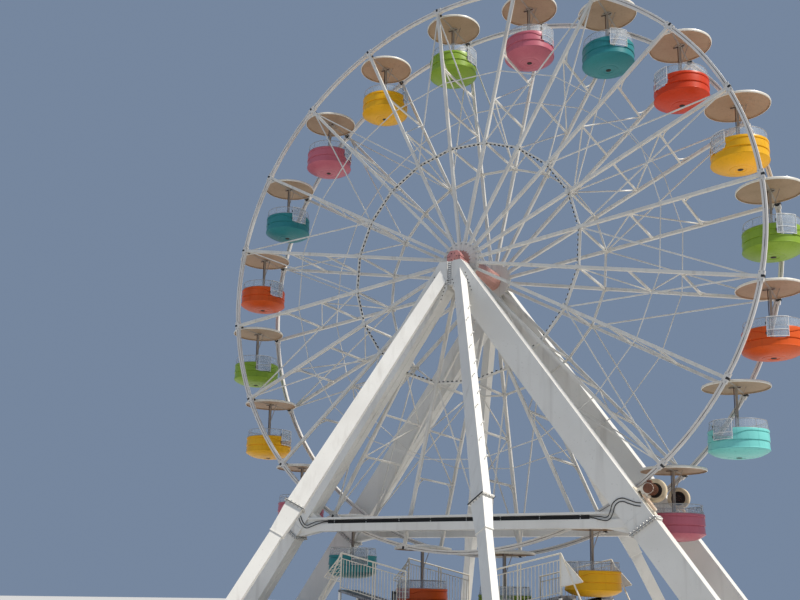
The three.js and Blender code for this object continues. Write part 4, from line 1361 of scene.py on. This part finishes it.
    def seams(self, side: int) -> bpy.types.Object:
        """The thin raised strip along the under side of both legs."""
        parts = []
        middle = side * (LEG_FRONT - 0.45 * self.leg_depth)
        for left in BOTH:
            for high, low in ((10.35, 4.05), (3.30, 0.30)):
                start, end = (self.leg_point(left, height, -self.leg_width / 2 - 0.004, middle)
                              for height in (high, low))
                strip = Workpiece.bar("strip", start, end, 0.020, 0.026).eased(0.003)
                parts.append(strip.wear(Finish.FRAME_WHITE).done())
        return joined(f"{self.name}_seams", parts)

    def anchor_bolts(self, side: int) -> bpy.types.Object:
        """Anchor bolts through the foot plates."""
        spots = []
        foot_x = self.axis_offset + HUB.z * math.tan(LEG_LEAN)
        middle, front = (side * (LEG_FRONT - self.leg_depth / 2), side * (LEG_FRONT + 0.032))
        offsets = [(x, middle + y) for x in (-0.53, 0.53) for y in (-0.24, 0.0, 0.24)]
        offsets += [(x, front) for x in (-0.30, 0.0, 0.30)]
        for left in BOTH:
            spots += [((left * foot_x + x, y, 0.06), (0, 0, 1)) for x, y in offsets]
        return bolts(f"{self.name}_anchor_bolts", spots, 0.02, Finish.BOLT_DARK)

    def build(self) -> None:
        """Makes the fittings and hands them to the standing structure."""
        side = SIDES[self.name]
        fit(self.bearing(side), "structure", "hub_red")
        fit_all("structure", "white_steel", self.louvre(side), self.flange_bolts(side), self.doublers(side),
                self.seams(side))
        fit_all("structure", "dark_steel", self.flange_shadow_strips(side), self.anchor_bolts(side))


@dataclass
class Prop:
    """What dresses one raking prop: head plates, flange bolts, a joint line and, on the right props, climbing
    pegs.
    """

    name: str
    left: int
    side: int
    toe: float = math.radians(23.3)
    top: tuple[float, float, float] = (0.284, -1.813, 11.346)
    flange: tuple[float, float, float] = (2.898, -5.557, 3.897)
    foot: tuple[float, float, float] = (4.254, -7.499, 0.03)

    def place(self, point: Point) -> Vector:
        """A point of the front right prop, mirrored to this one."""
        return Vector((self.left * point[0], -self.side * point[1], point[2]))

    def axes(self) -> tuple[Vector, Vector, Vector]:
        """The prop's directions: across it, out of its face and down along it."""
        along = (self.place(self.foot) - self.place(self.top)).normalized()
        facing = Vector((-self.left * math.sin(self.toe), self.side * math.cos(self.toe), 0))
        across = facing.cross(along).normalized()
        return across, along.cross(across), along

    def flange_bolts(self) -> bpy.types.Object:
        """Bolts round the flange between the upper and the lower box."""
        across, out, along = self.axes()
        middle = self.place(self.flange) - along * 0.025
        spots = [(middle + across * (number - 2) * 0.125 + out * face * 0.148, -along)
                 for number in range(5) for face in BOTH]
        for face in BOTH:
            for number in BOTH:
                spots.append((middle + across * face * 0.29 + out * number * 0.05, -along))
        nuts = [(Vector(spot) + 0.05 * along, along) for spot, _ in spots]
        rim = [(-0.3205, -0.2125), (0.3205, -0.2125), (0.3205, 0.2125), (-0.3205, 0.2125)]
        corners = [self.place(self.flange) + across * a + out * b for a, b in rim]
        joint = Workpiece.plate("joint", corners, along * 0.010).eased(0.002)
        joint.wear(Finish.JOINT_BLACK)
        return joined(f"{self.name}_flange_fittings", [bolts("bolts", spots + nuts, 0.022), joint.done()])

    def head_plates(self) -> bpy.types.Object:
        """Bolted side plates where the prop's head lies against the leg."""
        along = self.axes()[2]
        flat = Vector((along.x, 0, along.z)).normalized()
        beside = Vector((flat.z, 0, -flat.x)) * self.side
        face = self.side * LEG_FRONT
        centre = self.place((0.42, -1.92, 10.95))
        parts = []
        spots = []
        for edge in BOTH:
            middle = centre + beside * edge * 0.205
            corners = [middle + flat * run + beside * edge * reach
                       for run, reach in ((-0.40, 0.0), (0.40, 0.015), (0.36, 0.06), (-0.36, 0.055))]
            plate = Workpiece.plate("plate", [(c.x, face, c.z) for c in corners], (0, self.side * 0.012, 0))
            parts.append(plate.wear(Finish.FRAME_WHITE).eased(0.002).done())
            for number in range(6):
                spot = middle + flat * (number - 2.5) * 0.125 + beside * edge * 0.035
                spots.append(((spot.x, face + self.side * 0.012, spot.z), (0, self.side, 0)))
        parts.append(bolts("head_bolts", spots, 0.014, Finish.BOLT_DARK))
        return joined(f"{self.name}_head_plates", parts)

    def pegs(self) -> bpy.types.Object:
        """Climbing pegs along the prop's outer side."""
        across, out, along = self.axes()
        top = self.place(self.top)
        outer = across if across.x * self.left > 0 else -across
        length = (self.place(self.flange) - top).length
        peg = Workpiece.drum("peg", (0, 0, 0), (0, 0, 0.11), 0.010, 8)
        peg.faces(TOP).resize((1.9, 1.9, 1), (0, 0, 0)).extrude((0, 0, 0.008))
        peg.wear(Finish.FRAME_WHITE)
        places = []
        for number in range(11):
            reach = 1.7 + number * 0.58
            half = 0.5 * (0.343 + (0.517 - 0.343) * (reach + 0.15) / (length + 0.15))
            start = top + along * reach + outer * (half - 0.003) + out * (0.06 if number % 2 else -0.06)
            places.append(frame_along(start, start + outer, out))
        return repeated(f"{self.name}_pegs", peg.done(), places)

    def build(self) -> None:
        """Makes the fittings and hands them to the standing structure."""
        fit_all("structure", "white_steel", self.flange_bolts(), self.head_plates())
        if self.left > 0:
            fit(self.pegs(), "structure", "white_steel")


class Cables:
    """The pair of cables that lies in the front beam and loops over both legs, its clips, and a strip of
    painted shade in the beam's recess.
    """

    on_leg = -1.9484
    in_recess = -1.8588
    radius = 0.0135

    def route(self) -> list[Vector]:
        """The points that the pair follows, from left to right."""
        leg, inside = self.on_leg, self.in_recess
        return [Vector(p) for p in (
            (-5.510, leg, 4.090), (-5.420, leg, 3.900), (-5.290, leg, 3.680), (-5.130, leg, 3.590),
            (-4.930, leg, 3.640), (-4.700, leg + 0.02, 3.710), (-4.450, inside, 3.748),
            (-4.200, inside, 3.750), (-3.600, inside, 3.751), (-3.000, inside, 3.757),
            (-2.250, inside, 3.748), (-1.500, inside, 3.742), (-0.750, inside, 3.748),
            (0.0, inside, 3.757), (0.750, inside, 3.751), (1.500, inside, 3.742),
            (2.250, inside, 3.748), (3.000, inside, 3.757), (3.600, inside, 3.753),
            (4.200, inside, 3.750), (4.450, inside, 3.748), (4.700, leg + 0.02, 3.700),
            (4.910, leg, 3.690), (5.010, leg, 3.840), (5.100, leg, 4.080), (5.290, leg, 4.180),
            (5.500, leg, 4.120), (5.680, leg, 4.060), (5.820, leg, 4.040),
        )]

    def strand(self, name: str, side: int) -> bpy.types.Object:
        """One cable of the pair.

        Args:
            name: the piece's name.
            side: 1 for the cable above the pair's middle and -1 for the one below.

        Returns:
            The cable as a mesh.
        """
        line = bpy.data.curves.new(name, "CURVE")
        line.dimensions = "3D"
        line.resolution_u = 6
        line.bevel_depth = self.radius
        line.bevel_resolution = 2
        line.use_fill_caps = True
        spline = line.splines.new("BEZIER")
        points = self.route()
        spline.bezier_points.add(len(points) - 1)
        for number, (knot, point) in enumerate(zip(spline.bezier_points, points)):
            before, after = points[max(number - 1, 0)], points[min(number + 1, len(points) - 1)]
            along = (after - before).normalized()
            away = Vector((-along.z, 0, along.x)) * side
            looped = point.y < self.in_recess - 0.05
            slack = 0.012 * math.sin(number * 1.9) if side < 0 else 0.0
            knot.co = point + away * (0.044 if looped else 0.019 + slack)
            if looped:
                knot.co.y = -LEG_FRONT - 0.0145
            knot.handle_left_type = knot.handle_right_type = "AUTO"
        thing = bpy.data.objects.new(name, line)
        bpy.context.scene.collection.objects.link(thing)
        take(thing)
        bpy.ops.object.convert(target="MESH")
        return Workpiece(bpy.context.object).wear(Finish.CABLE_SHEATH).done()

    def shade(self) -> bpy.types.Object:
        """A dark strip on the back wall of the beam's recess, behind the pair: painted shade of the recess.
        """
        strip = Workpiece.block("strip", (-4.36, -1.8330, 3.690), (4.36, -1.8295, 3.806))
        strip.faces(FRONT).inset(0.012).extrude((0, -0.002, 0))
        # the strip wears the black sheath as painted shade in the recess
        return strip.wear(Finish.CABLE_SHEATH).done()

    def clips(self) -> bpy.types.Object:
        """White clips that hold the pair in the beam."""
        clip = Workpiece.block("clip", (-0.012, -0.052, -0.055), (0.012, 0.0, 0.055))
        clip.faces(ENDS_Z).resize((0.7, 0.6, 1), (0, 0, 0))
        clip.wear(Finish.HOOP_WHITE).eased(0.004)
        places = [Matrix.Translation((x, -1.829, 3.750))
                  for x in (-4.1, -2.9, -1.7, -0.6, 0.6, 1.7, 2.9, 4.1)]
        return repeated("cable_clips", clip.done(), places)

    def build(self) -> None:
        """Makes the cables and hands them to the standing structure."""
        strands = [self.strand("upper_cable", 1), self.strand("lower_cable", -1)]
        # the pair is joined with the strip of painted recess shade
        pair = joined("front_cable_pair", [*strands, self.shade()])
        fit(pair, "structure", "cable_black", "front_cables")
        fit(self.clips(), "structure", "white_steel")


@dataclass
class Drive:
    """One drive: the tyre on its dark wheel, and the fittings on its gear motor."""

    name: str
    radius: float = 0.325
    motor_radius: float = 0.15

    def centre(self, side: int) -> Vector:
        """Where the tyre turns."""
        rolling = math.hypot(9.284, 0.15) + 0.006
        return on_wheel(rolling + self.radius, math.atan2(5.940, -7.450), side * FACE)

    def tyre(self, side: int) -> bpy.types.Object:
        """The tyre, its wheel and its nuts."""
        centre = self.centre(side)
        rubber = [(0.205, -0.060), (0.250, -0.074), (0.298, -0.0745), (0.318, -0.064), (0.3245, -0.040),
                  (0.3248, 0.0), (0.3245, 0.040), (0.318, 0.064), (0.298, 0.0745), (0.250, 0.074),
                  (0.205, 0.060), (0.205, -0.060)]
        band = Workpiece.turned("band", rubber, 48, "Y", centre).wear(Finish.TYRE_CREAM)
        disc = [(0.0, -0.045), (0.085, -0.045), (0.095, -0.020), (0.165, -0.014), (0.185, -0.058),
                (0.206, -0.062), (0.206, 0.062), (0.185, 0.058), (0.165, 0.030), (0.095, 0.030),
                (0.085, 0.050), (0.0, 0.050)]
        wheel = Workpiece.turned("wheel", disc, 32, "Y", centre).wear(Finish.WHEEL_DARK)
        facing = Vector((0, -1, 0))
        spots = [(centre + Vector((0.065 * math.cos(a), -0.045, 0.065 * math.sin(a))), facing)
                 for a in (turn * 2 * math.pi / 5 for turn in range(5))]
        parts = [band.done(), wheel.done(), bolts("nuts", spots, 0.011, Finish.MOTOR_BROWN)]
        return joined(f"{self.name}_tyre", parts)

    def fins(self, side: int) -> bpy.types.Object:
        """Cooling fins, end bell and terminal box of the motor."""
        centre = self.centre(side)
        front = side * 1.85
        profile = []
        for number in range(9):
            at = -side * (0.05 + number * 0.036)
            profile += [(0.150, at), (0.168, at), (0.168, at - side * 0.012), (0.150, at - side * 0.012)]
        profile = [(0.0, side * 0.014), (0.105, side * 0.014), (0.148, -side * 0.004), *profile,
                   (0.156, -side * 0.36), (0.156, -side * 0.424), (0.110, -side * 0.434),
                   (0.0, -side * 0.434)]
        body = Workpiece.turned("fins", profile, 24, "Y", (centre.x, front, centre.z))
        body.wear(Finish.MOTOR_BROWN)
        top = centre.z + self.motor_radius
        low, high = sorted((front - side * 0.09, front - side * 0.23))
        box = Workpiece.block("box", (centre.x - 0.06, low, top - 0.01), (centre.x + 0.06, high, top + 0.07))
        box.faces(TOP).inset(0.008).extrude((0, 0, 0.008))
        box.wear(Finish.MOTOR_BROWN).eased(0.004)
        return joined(f"{self.name}_motor_fins", [body.done(), box.done()])

    def spring(self, side: int) -> bpy.types.Object:
        """The coils over the strut that presses the tyre on the rim."""
        centre = self.centre(side)
        outwards = Vector((math.cos(LEG_LEAN), 0, math.sin(LEG_LEAN)))
        down = Vector((math.sin(LEG_LEAN), 0, -math.cos(LEG_LEAN)))
        head = Vector((-0.235, 0, HUB.z))
        offset = (centre - head - Vector((0, centre.y, 0))).dot(outwards)
        foot = centre + outwards * (0.3829 - offset)
        middle = foot + down * 0.32 + outwards * 0.11
        middle.y = side * 1.805
        coil = []
        for number in range(11):
            at = -0.22 + number * 0.044
            coil += [(0.046, at - 0.012), (0.060, at), (0.046, at + 0.012)]
        profile = [(0.0, -0.27), (0.052, -0.27), (0.052, -0.245), *coil, (0.052, 0.245), (0.052, 0.27),
                   (0.0, 0.27)]
        made = Workpiece.turned("coils", profile, 16).wear(Finish.SPRING_CREAM)
        made.moved(frame_along(middle, middle + down, (0, 1, 0)))
        made.thing.name = f"{self.name}_spring_coils"
        return made.done(20)

    def build(self) -> None:
        """Makes the tyre and the fittings."""
        side = SIDES[self.name]
        fit(self.tyre(side), f"{self.name}_tyre", "drive_tyre", f"{self.name}_drive_tyre")
        fit_all("structure", "dark_steel", self.fins(side), self.spring(side))


# Boarding platform


@dataclass
class Platform:
    """The boarding platform: tread-plate decks, posts, steps, railings and end screens."""

    flat: float = 1.25
    reach: float = 3.65
    low: float = 1.05
    high: float = 1.62
    inner: float = 1.05
    outer: float = 2.16
    plate: float = 0.07
    trough_low: float = 0.50
    trough_high: float = 1.10
    wall: float = 0.04
    post: float = 0.08
    rail_y: float = 2.10
    rail_low: float = 2.19
    rail_high: float = 2.75
    tube: float = 0.024
    thin: float = 0.014
    pitch: float = 0.105
    step_half: float = 0.85
    step_rise: float = 0.21
    step_reach: float = 0.28

    def climbing(self, low: float, high: float, drop: float) -> list[tuple[float, float]]:
        """The outline of a deck that is flat in the middle and climbs to both ends."""
        return mirrored([(self.flat, low - drop), (self.reach, high - drop), (self.reach, high),
                         (self.flat, low)])

    def slab(self, name: str, outline: Sequence[tuple[float, float]], start: float, end: float) -> Workpiece:
        """A plate across the platform from one place along Y to another."""
        return Workpiece.plate(name, [(x, start, z) for x, z in outline], (0, end - start, 0))

    def decks(self) -> bpy.types.Object:
        """The lower trough, and each side deck with the apron along its inner edge."""
        trough = self.slab("trough", self.climbing(self.trough_low, self.trough_high, self.plate),
                           -self.inner - self.wall, self.inner + self.wall)
        parts = [trough.wear(Finish.DECK_TREAD).eased(0.004).done()]
        for side in BOTH:
            deck = self.slab("deck", self.climbing(self.low, self.high, self.plate), side * self.inner,
                             side * self.outer)
            parts.append(deck.wear(Finish.DECK_TREAD).eased(0.005).done())
            half = [(self.flat, self.trough_low - self.plate), (self.reach, self.trough_high - self.plate),
                    (self.reach, self.high), (self.flat, self.low)]
            apron = self.slab("apron", mirrored(half), side * self.inner, side * (self.inner + self.wall))
            parts.append(apron.wear(Finish.DECK_TREAD).done())
        return joined("decks", parts)

    def posts(self) -> bpy.types.Object:
        """Square deck posts with rounded edges."""
        parts = []
        for side in BOTH:
            for left in BOTH:
                for share in (0.0, 0.5, 1.0):
                    half = self.post / 2
                    x = left * (self.flat + share * (self.reach - self.flat - self.post) + half)
                    top = self.low + share * (self.high - self.low) - self.plate / 2
                    for y in (side * (self.inner + half), side * (self.outer - half)):
                        leg = Workpiece.block("leg", (x - half, y - half, 0.0), (x + half, y + half, top))
                        parts.append(leg.wear(Finish.FRAME_WHITE).eased(0.006).done())
        return joined("deck_posts", parts)

    def steps(self) -> bpy.types.Object:
        """Treads with a thin nosing, between two stringers."""
        parts = []
        for number in range(1, 5):
            top = self.low - number * self.step_rise
            back = -self.outer - (number - 1) * self.step_reach
            tread = Workpiece.block("tread", (-self.step_half, back - 0.30, top - 0.04),
                                    (self.step_half, back + 0.02, top))
            tread.faces(FRONT).extrude((0, -0.004, 0))
            parts.append(tread.wear(Finish.DECK_TREAD).eased(0.005).done())
        reach = 5 * self.step_reach
        outline = [(-self.outer + 0.02, self.low - 0.01), (-self.outer + 0.02, self.low - 0.32),
                   (-self.outer - reach + 0.32, 0.0), (-self.outer - reach - 0.04, 0.0),
                   (-self.outer - reach - 0.04, 0.06)]
        for left in BOTH:
            corners = [(left * self.step_half - 0.025, y, z) for y, z in outline]
            stringer = Workpiece.plate("stringer", corners, (0.05, 0, 0))
            parts.append(stringer.wear(Finish.FRAME_WHITE).eased(0.004).done())
        return joined("steps", parts)

    def rail_point(self, left: int, side: int, share: float, drop: float) -> Vector:
        """A point on the line of one railing.

        Args:
            left: -1 for the left half and 1 for the right one.
            side: -1 for the front railing and 1 for the back one.
            share: how far out along the railing, from 0 to 1.
            drop: how far under its top.

        Returns:
            The point.
        """
        x = self.flat + share * (self.reach - self.tube - self.flat)
        z = self.rail_low + share * (self.rail_high - self.rail_low) - drop
        return Vector((left * x, side * self.rail_y, z))

    def pipe(self, name: str, start: Point, end: Point, radius: float) -> bpy.types.Object:
        """One railing tube with its ends turned in a little.

        Args:
            name: the piece's name.
            start: where it begins.
            end: where it ends.
            radius: its radius.

        Returns:
            The tube.
        """
        along = (Vector(end) - Vector(start)).normalized()
        made = Workpiece.drum(name, start, end, radius, 12)
        made.faces(looks(along, True)).inset(radius * 0.25, True)
        return made.wear(Finish.RAIL_CREAM).done()

    def railings(self) -> bpy.types.Object:
        """Rails, posts, raking tubes and balusters of the four climbing railings."""
        parts = []
        baluster = Workpiece.drum("baluster", (0, 0, 0), (0, 0, 0.88), 0.010, 6)
        baluster.faces(ENDS_Z).inset(0.002, True)
        baluster = baluster.wear(Finish.RAIL_CREAM).done()
        places = []
        for side in BOTH:
            for left in BOTH:
                for drop, radius in ((0.0, self.tube), (0.17, self.thin), (1.05, self.thin)):
                    parts.append(self.pipe("rail", self.rail_point(left, side, 0, drop),
                                           self.rail_point(left, side, 1, drop), radius))
                gap = 0.09 / (self.reach - self.flat) / 2
                for share in (0.01, 0.48 - gap, 0.48 + gap, 0.995):
                    head = self.rail_point(left, side, share, 0)
                    foot = head.copy()
                    foot.z = self.low + share * (self.high - self.low) - self.plate / 2
                    parts.append(self.pipe("stanchion", foot, head, self.tube * 0.9))
                end = Vector((left * (self.reach + 1.18), side * self.rail_y, 0.03))
                parts.append(self.pipe("raking_tube", self.rail_point(left, side, 1, 0), end, self.tube))
                count = int((self.reach - self.flat) / self.pitch)
                for number in range(1, count):
                    foot = self.rail_point(left, side, number / count, 1.05)
                    places.append(Matrix.Translation(foot))
        parts.append(repeated("balusters", baluster, places))
        return joined("railings", parts)

    def screens(self) -> bpy.types.Object:
        """Triangular end screens: lattice on the left, sheet on the right, both in tube frames."""
        parts = []
        for side in BOTH:
            y = side * self.rail_y
            for left in BOTH:
                corners = [Vector((left * (self.reach + out), y, z))
                           for out, z in ((-0.05, 1.85), (0.59, 1.99), (-0.05, 2.70))]
                for start, end in zip(corners, corners[1:] + corners[:1]):
                    edge = Workpiece.bar("edge", start, end, 0.03, 0.03)
                    parts.append(edge.wear(Finish.RAIL_CREAM).eased(0.004).done())
                if left > 0:
                    shift = Vector((0, 0.006, 0))
                    sheet = Workpiece.plate("sheet", [c - shift for c in corners], shift * 2)
                    parts.append(sheet.wear(Finish.FRAME_WHITE).done())
                    continue
                low, out, top = corners
                for number in range(1, 6):
                    share = number / 6
                    start = low.lerp(top, share)
                    for end in (low.lerp(out, share), out.lerp(top, share * 0.6)):
                        slat = Workpiece.bar("slat", start, end, 0.018, 0.010)
                        parts.append(slat.wear(Finish.RAIL_CREAM).done())
        return joined("end_screens", parts)

    def build(self) -> None:
        """Makes the platform's pieces and hands them to the standing structure."""
        fit(self.decks(), "structure", "deck", "boarding_platform")
        fit_all("structure", "deck", self.posts(), self.steps(), self.railings(), self.screens())


# Studio


@dataclass
class Studio:
    """Pale floor, soft light and the camera."""

    eye: tuple[float, float, float] = (13.589, -27.465, 1.608)
    yaw: float = -0.5627
    pitch: float = 0.1984
    roll: float = 0.0268
    focal: float = 968.13
    middle: tuple[float, float] = (378.31, 396.26)

    def camera(self) -> None:
        """Puts the camera where the ride was seen from."""
        lens = bpy.data.cameras.new("camera")
        lens.sensor_width = 36.0
        lens.lens = self.focal / 800 * lens.sensor_width
        lens.shift_x = (400 - self.middle[0]) / 800
        lens.shift_y = (self.middle[1] - 300) / 800
        lens.clip_start, lens.clip_end = (0.1, 500.0)
        thing = bpy.data.objects.new("camera", lens)
        bpy.context.scene.collection.objects.link(thing)
        forward = Vector((math.sin(self.yaw) * math.cos(self.pitch),
                          math.cos(self.yaw) * math.cos(self.pitch), math.sin(self.pitch)))
        right = Vector((math.cos(self.yaw), -math.sin(self.yaw), 0.0))
        up = right.cross(forward)
        level = right * math.cos(self.roll) + up * math.sin(self.roll)
        upright = up * math.cos(self.roll) - right * math.sin(self.roll)
        placing = Matrix((level, upright, -forward)).transposed().to_4x4()
        placing.translation = Vector(self.eye)
        thing.matrix_world = placing
        bpy.context.scene.camera = thing

    def sun(self, name: str, towards: Point, strength: float, spread: float, colour: Point) -> None:
        """Adds one soft distant light.

        Args:
            name: the light's name.
            towards: the direction in which the light stands.
            strength: its strength.
            spread: how wide it looks, in degrees.
            colour: its colour.
        """
        light = bpy.data.lights.new(name, "SUN")
        light.energy = strength
        light.angle = math.radians(spread)
        light.color = colour
        thing = bpy.data.objects.new(name, light)
        bpy.context.scene.collection.objects.link(thing)
        thing.rotation_mode = "QUATERNION"
        thing.rotation_quaternion = Vector(towards).to_track_quat("Z", "Y")

    def floor(self) -> None:
        """Lays the pale floor."""
        deselect()
        bpy.ops.mesh.primitive_plane_add(size=160, location=(0, 0, -0.001))
        thing = bpy.context.object
        thing.name = "floor"
        bpy.ops.object.mode_set(mode="EDIT")
        bpy.ops.mesh.subdivide(number_cuts=3)
        bpy.ops.object.mode_set(mode="OBJECT")
        paint = WeatheredPaint("floor_pale", 0xC8C6C2, grime=0xACA8A2, amount=0.3, scale=0.15, gloss=0.7)
        thing.data.materials.append(paint.material())

    def build(self) -> None:
        """Sets up floor, light and camera."""
        self.floor()
        self.sun("key_light", (0.60, 0.05, 0.80), 4.3, 5, (1.0, 0.96, 0.89))
        self.sun("fill_light", (-0.30, -0.9, 0.30), 0.16, 60, (0.88, 0.93, 1.0))
        world = bpy.data.worlds.new("studio")
        world.use_nodes = True
        world.node_tree.nodes["Background"].inputs[0].default_value = (0.42, 0.56, 0.80, 1)
        world.node_tree.nodes["Background"].inputs[1].default_value = 0.43
        bpy.context.scene.world = world
        bpy.context.scene.view_settings.view_transform = "Standard"
        self.camera()


def dress_steelwork() -> None:
    """Gives every node that is carried over its finish."""
    finishes = {"hub": Finish.HUB_ROSE, "cross_struts": Finish.LATTICE_WHITE}
    for name in SIDES:
        finishes[f"{name}_lattice"] = Finish.LATTICE_WHITE
        finishes[f"{name}_a_frame"] = Finish.FRAME_WHITE
        finishes[f"{name}_cross_beam"] = Finish.FRAME_WHITE
        finishes[f"{name}_drive_unit"] = Finish.RAIL_CREAM
        for hand in ("left", "right"):
            finishes[f"{name}_{hand}_prop"] = Finish.FRAME_WHITE
    for name, finish in finishes.items():
        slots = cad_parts[name].material_slots
        slots[0].material = finish.material
        log.info("%s wears %s", name, finish.value.name)


def main() -> None:
    """Builds every sub-assembly."""
    logging.basicConfig(level=logging.INFO, format="%(message)s")
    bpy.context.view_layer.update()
    dress_steelwork()
    for name in SIDES:
        Rim(f"{name}_rim").build()
    Spokework().build()
    Gondolas().build()
    for name, side in SIDES.items():
        AFrame(name).build()
        Prop(f"{name}_left_prop", -1, side).build()
        Prop(f"{name}_right_prop", 1, side).build()
        Drive(name).build()
    Cables().build()
    Platform().build()
    Studio().build()
    deselect()


if __name__ == "__main__":
    main()
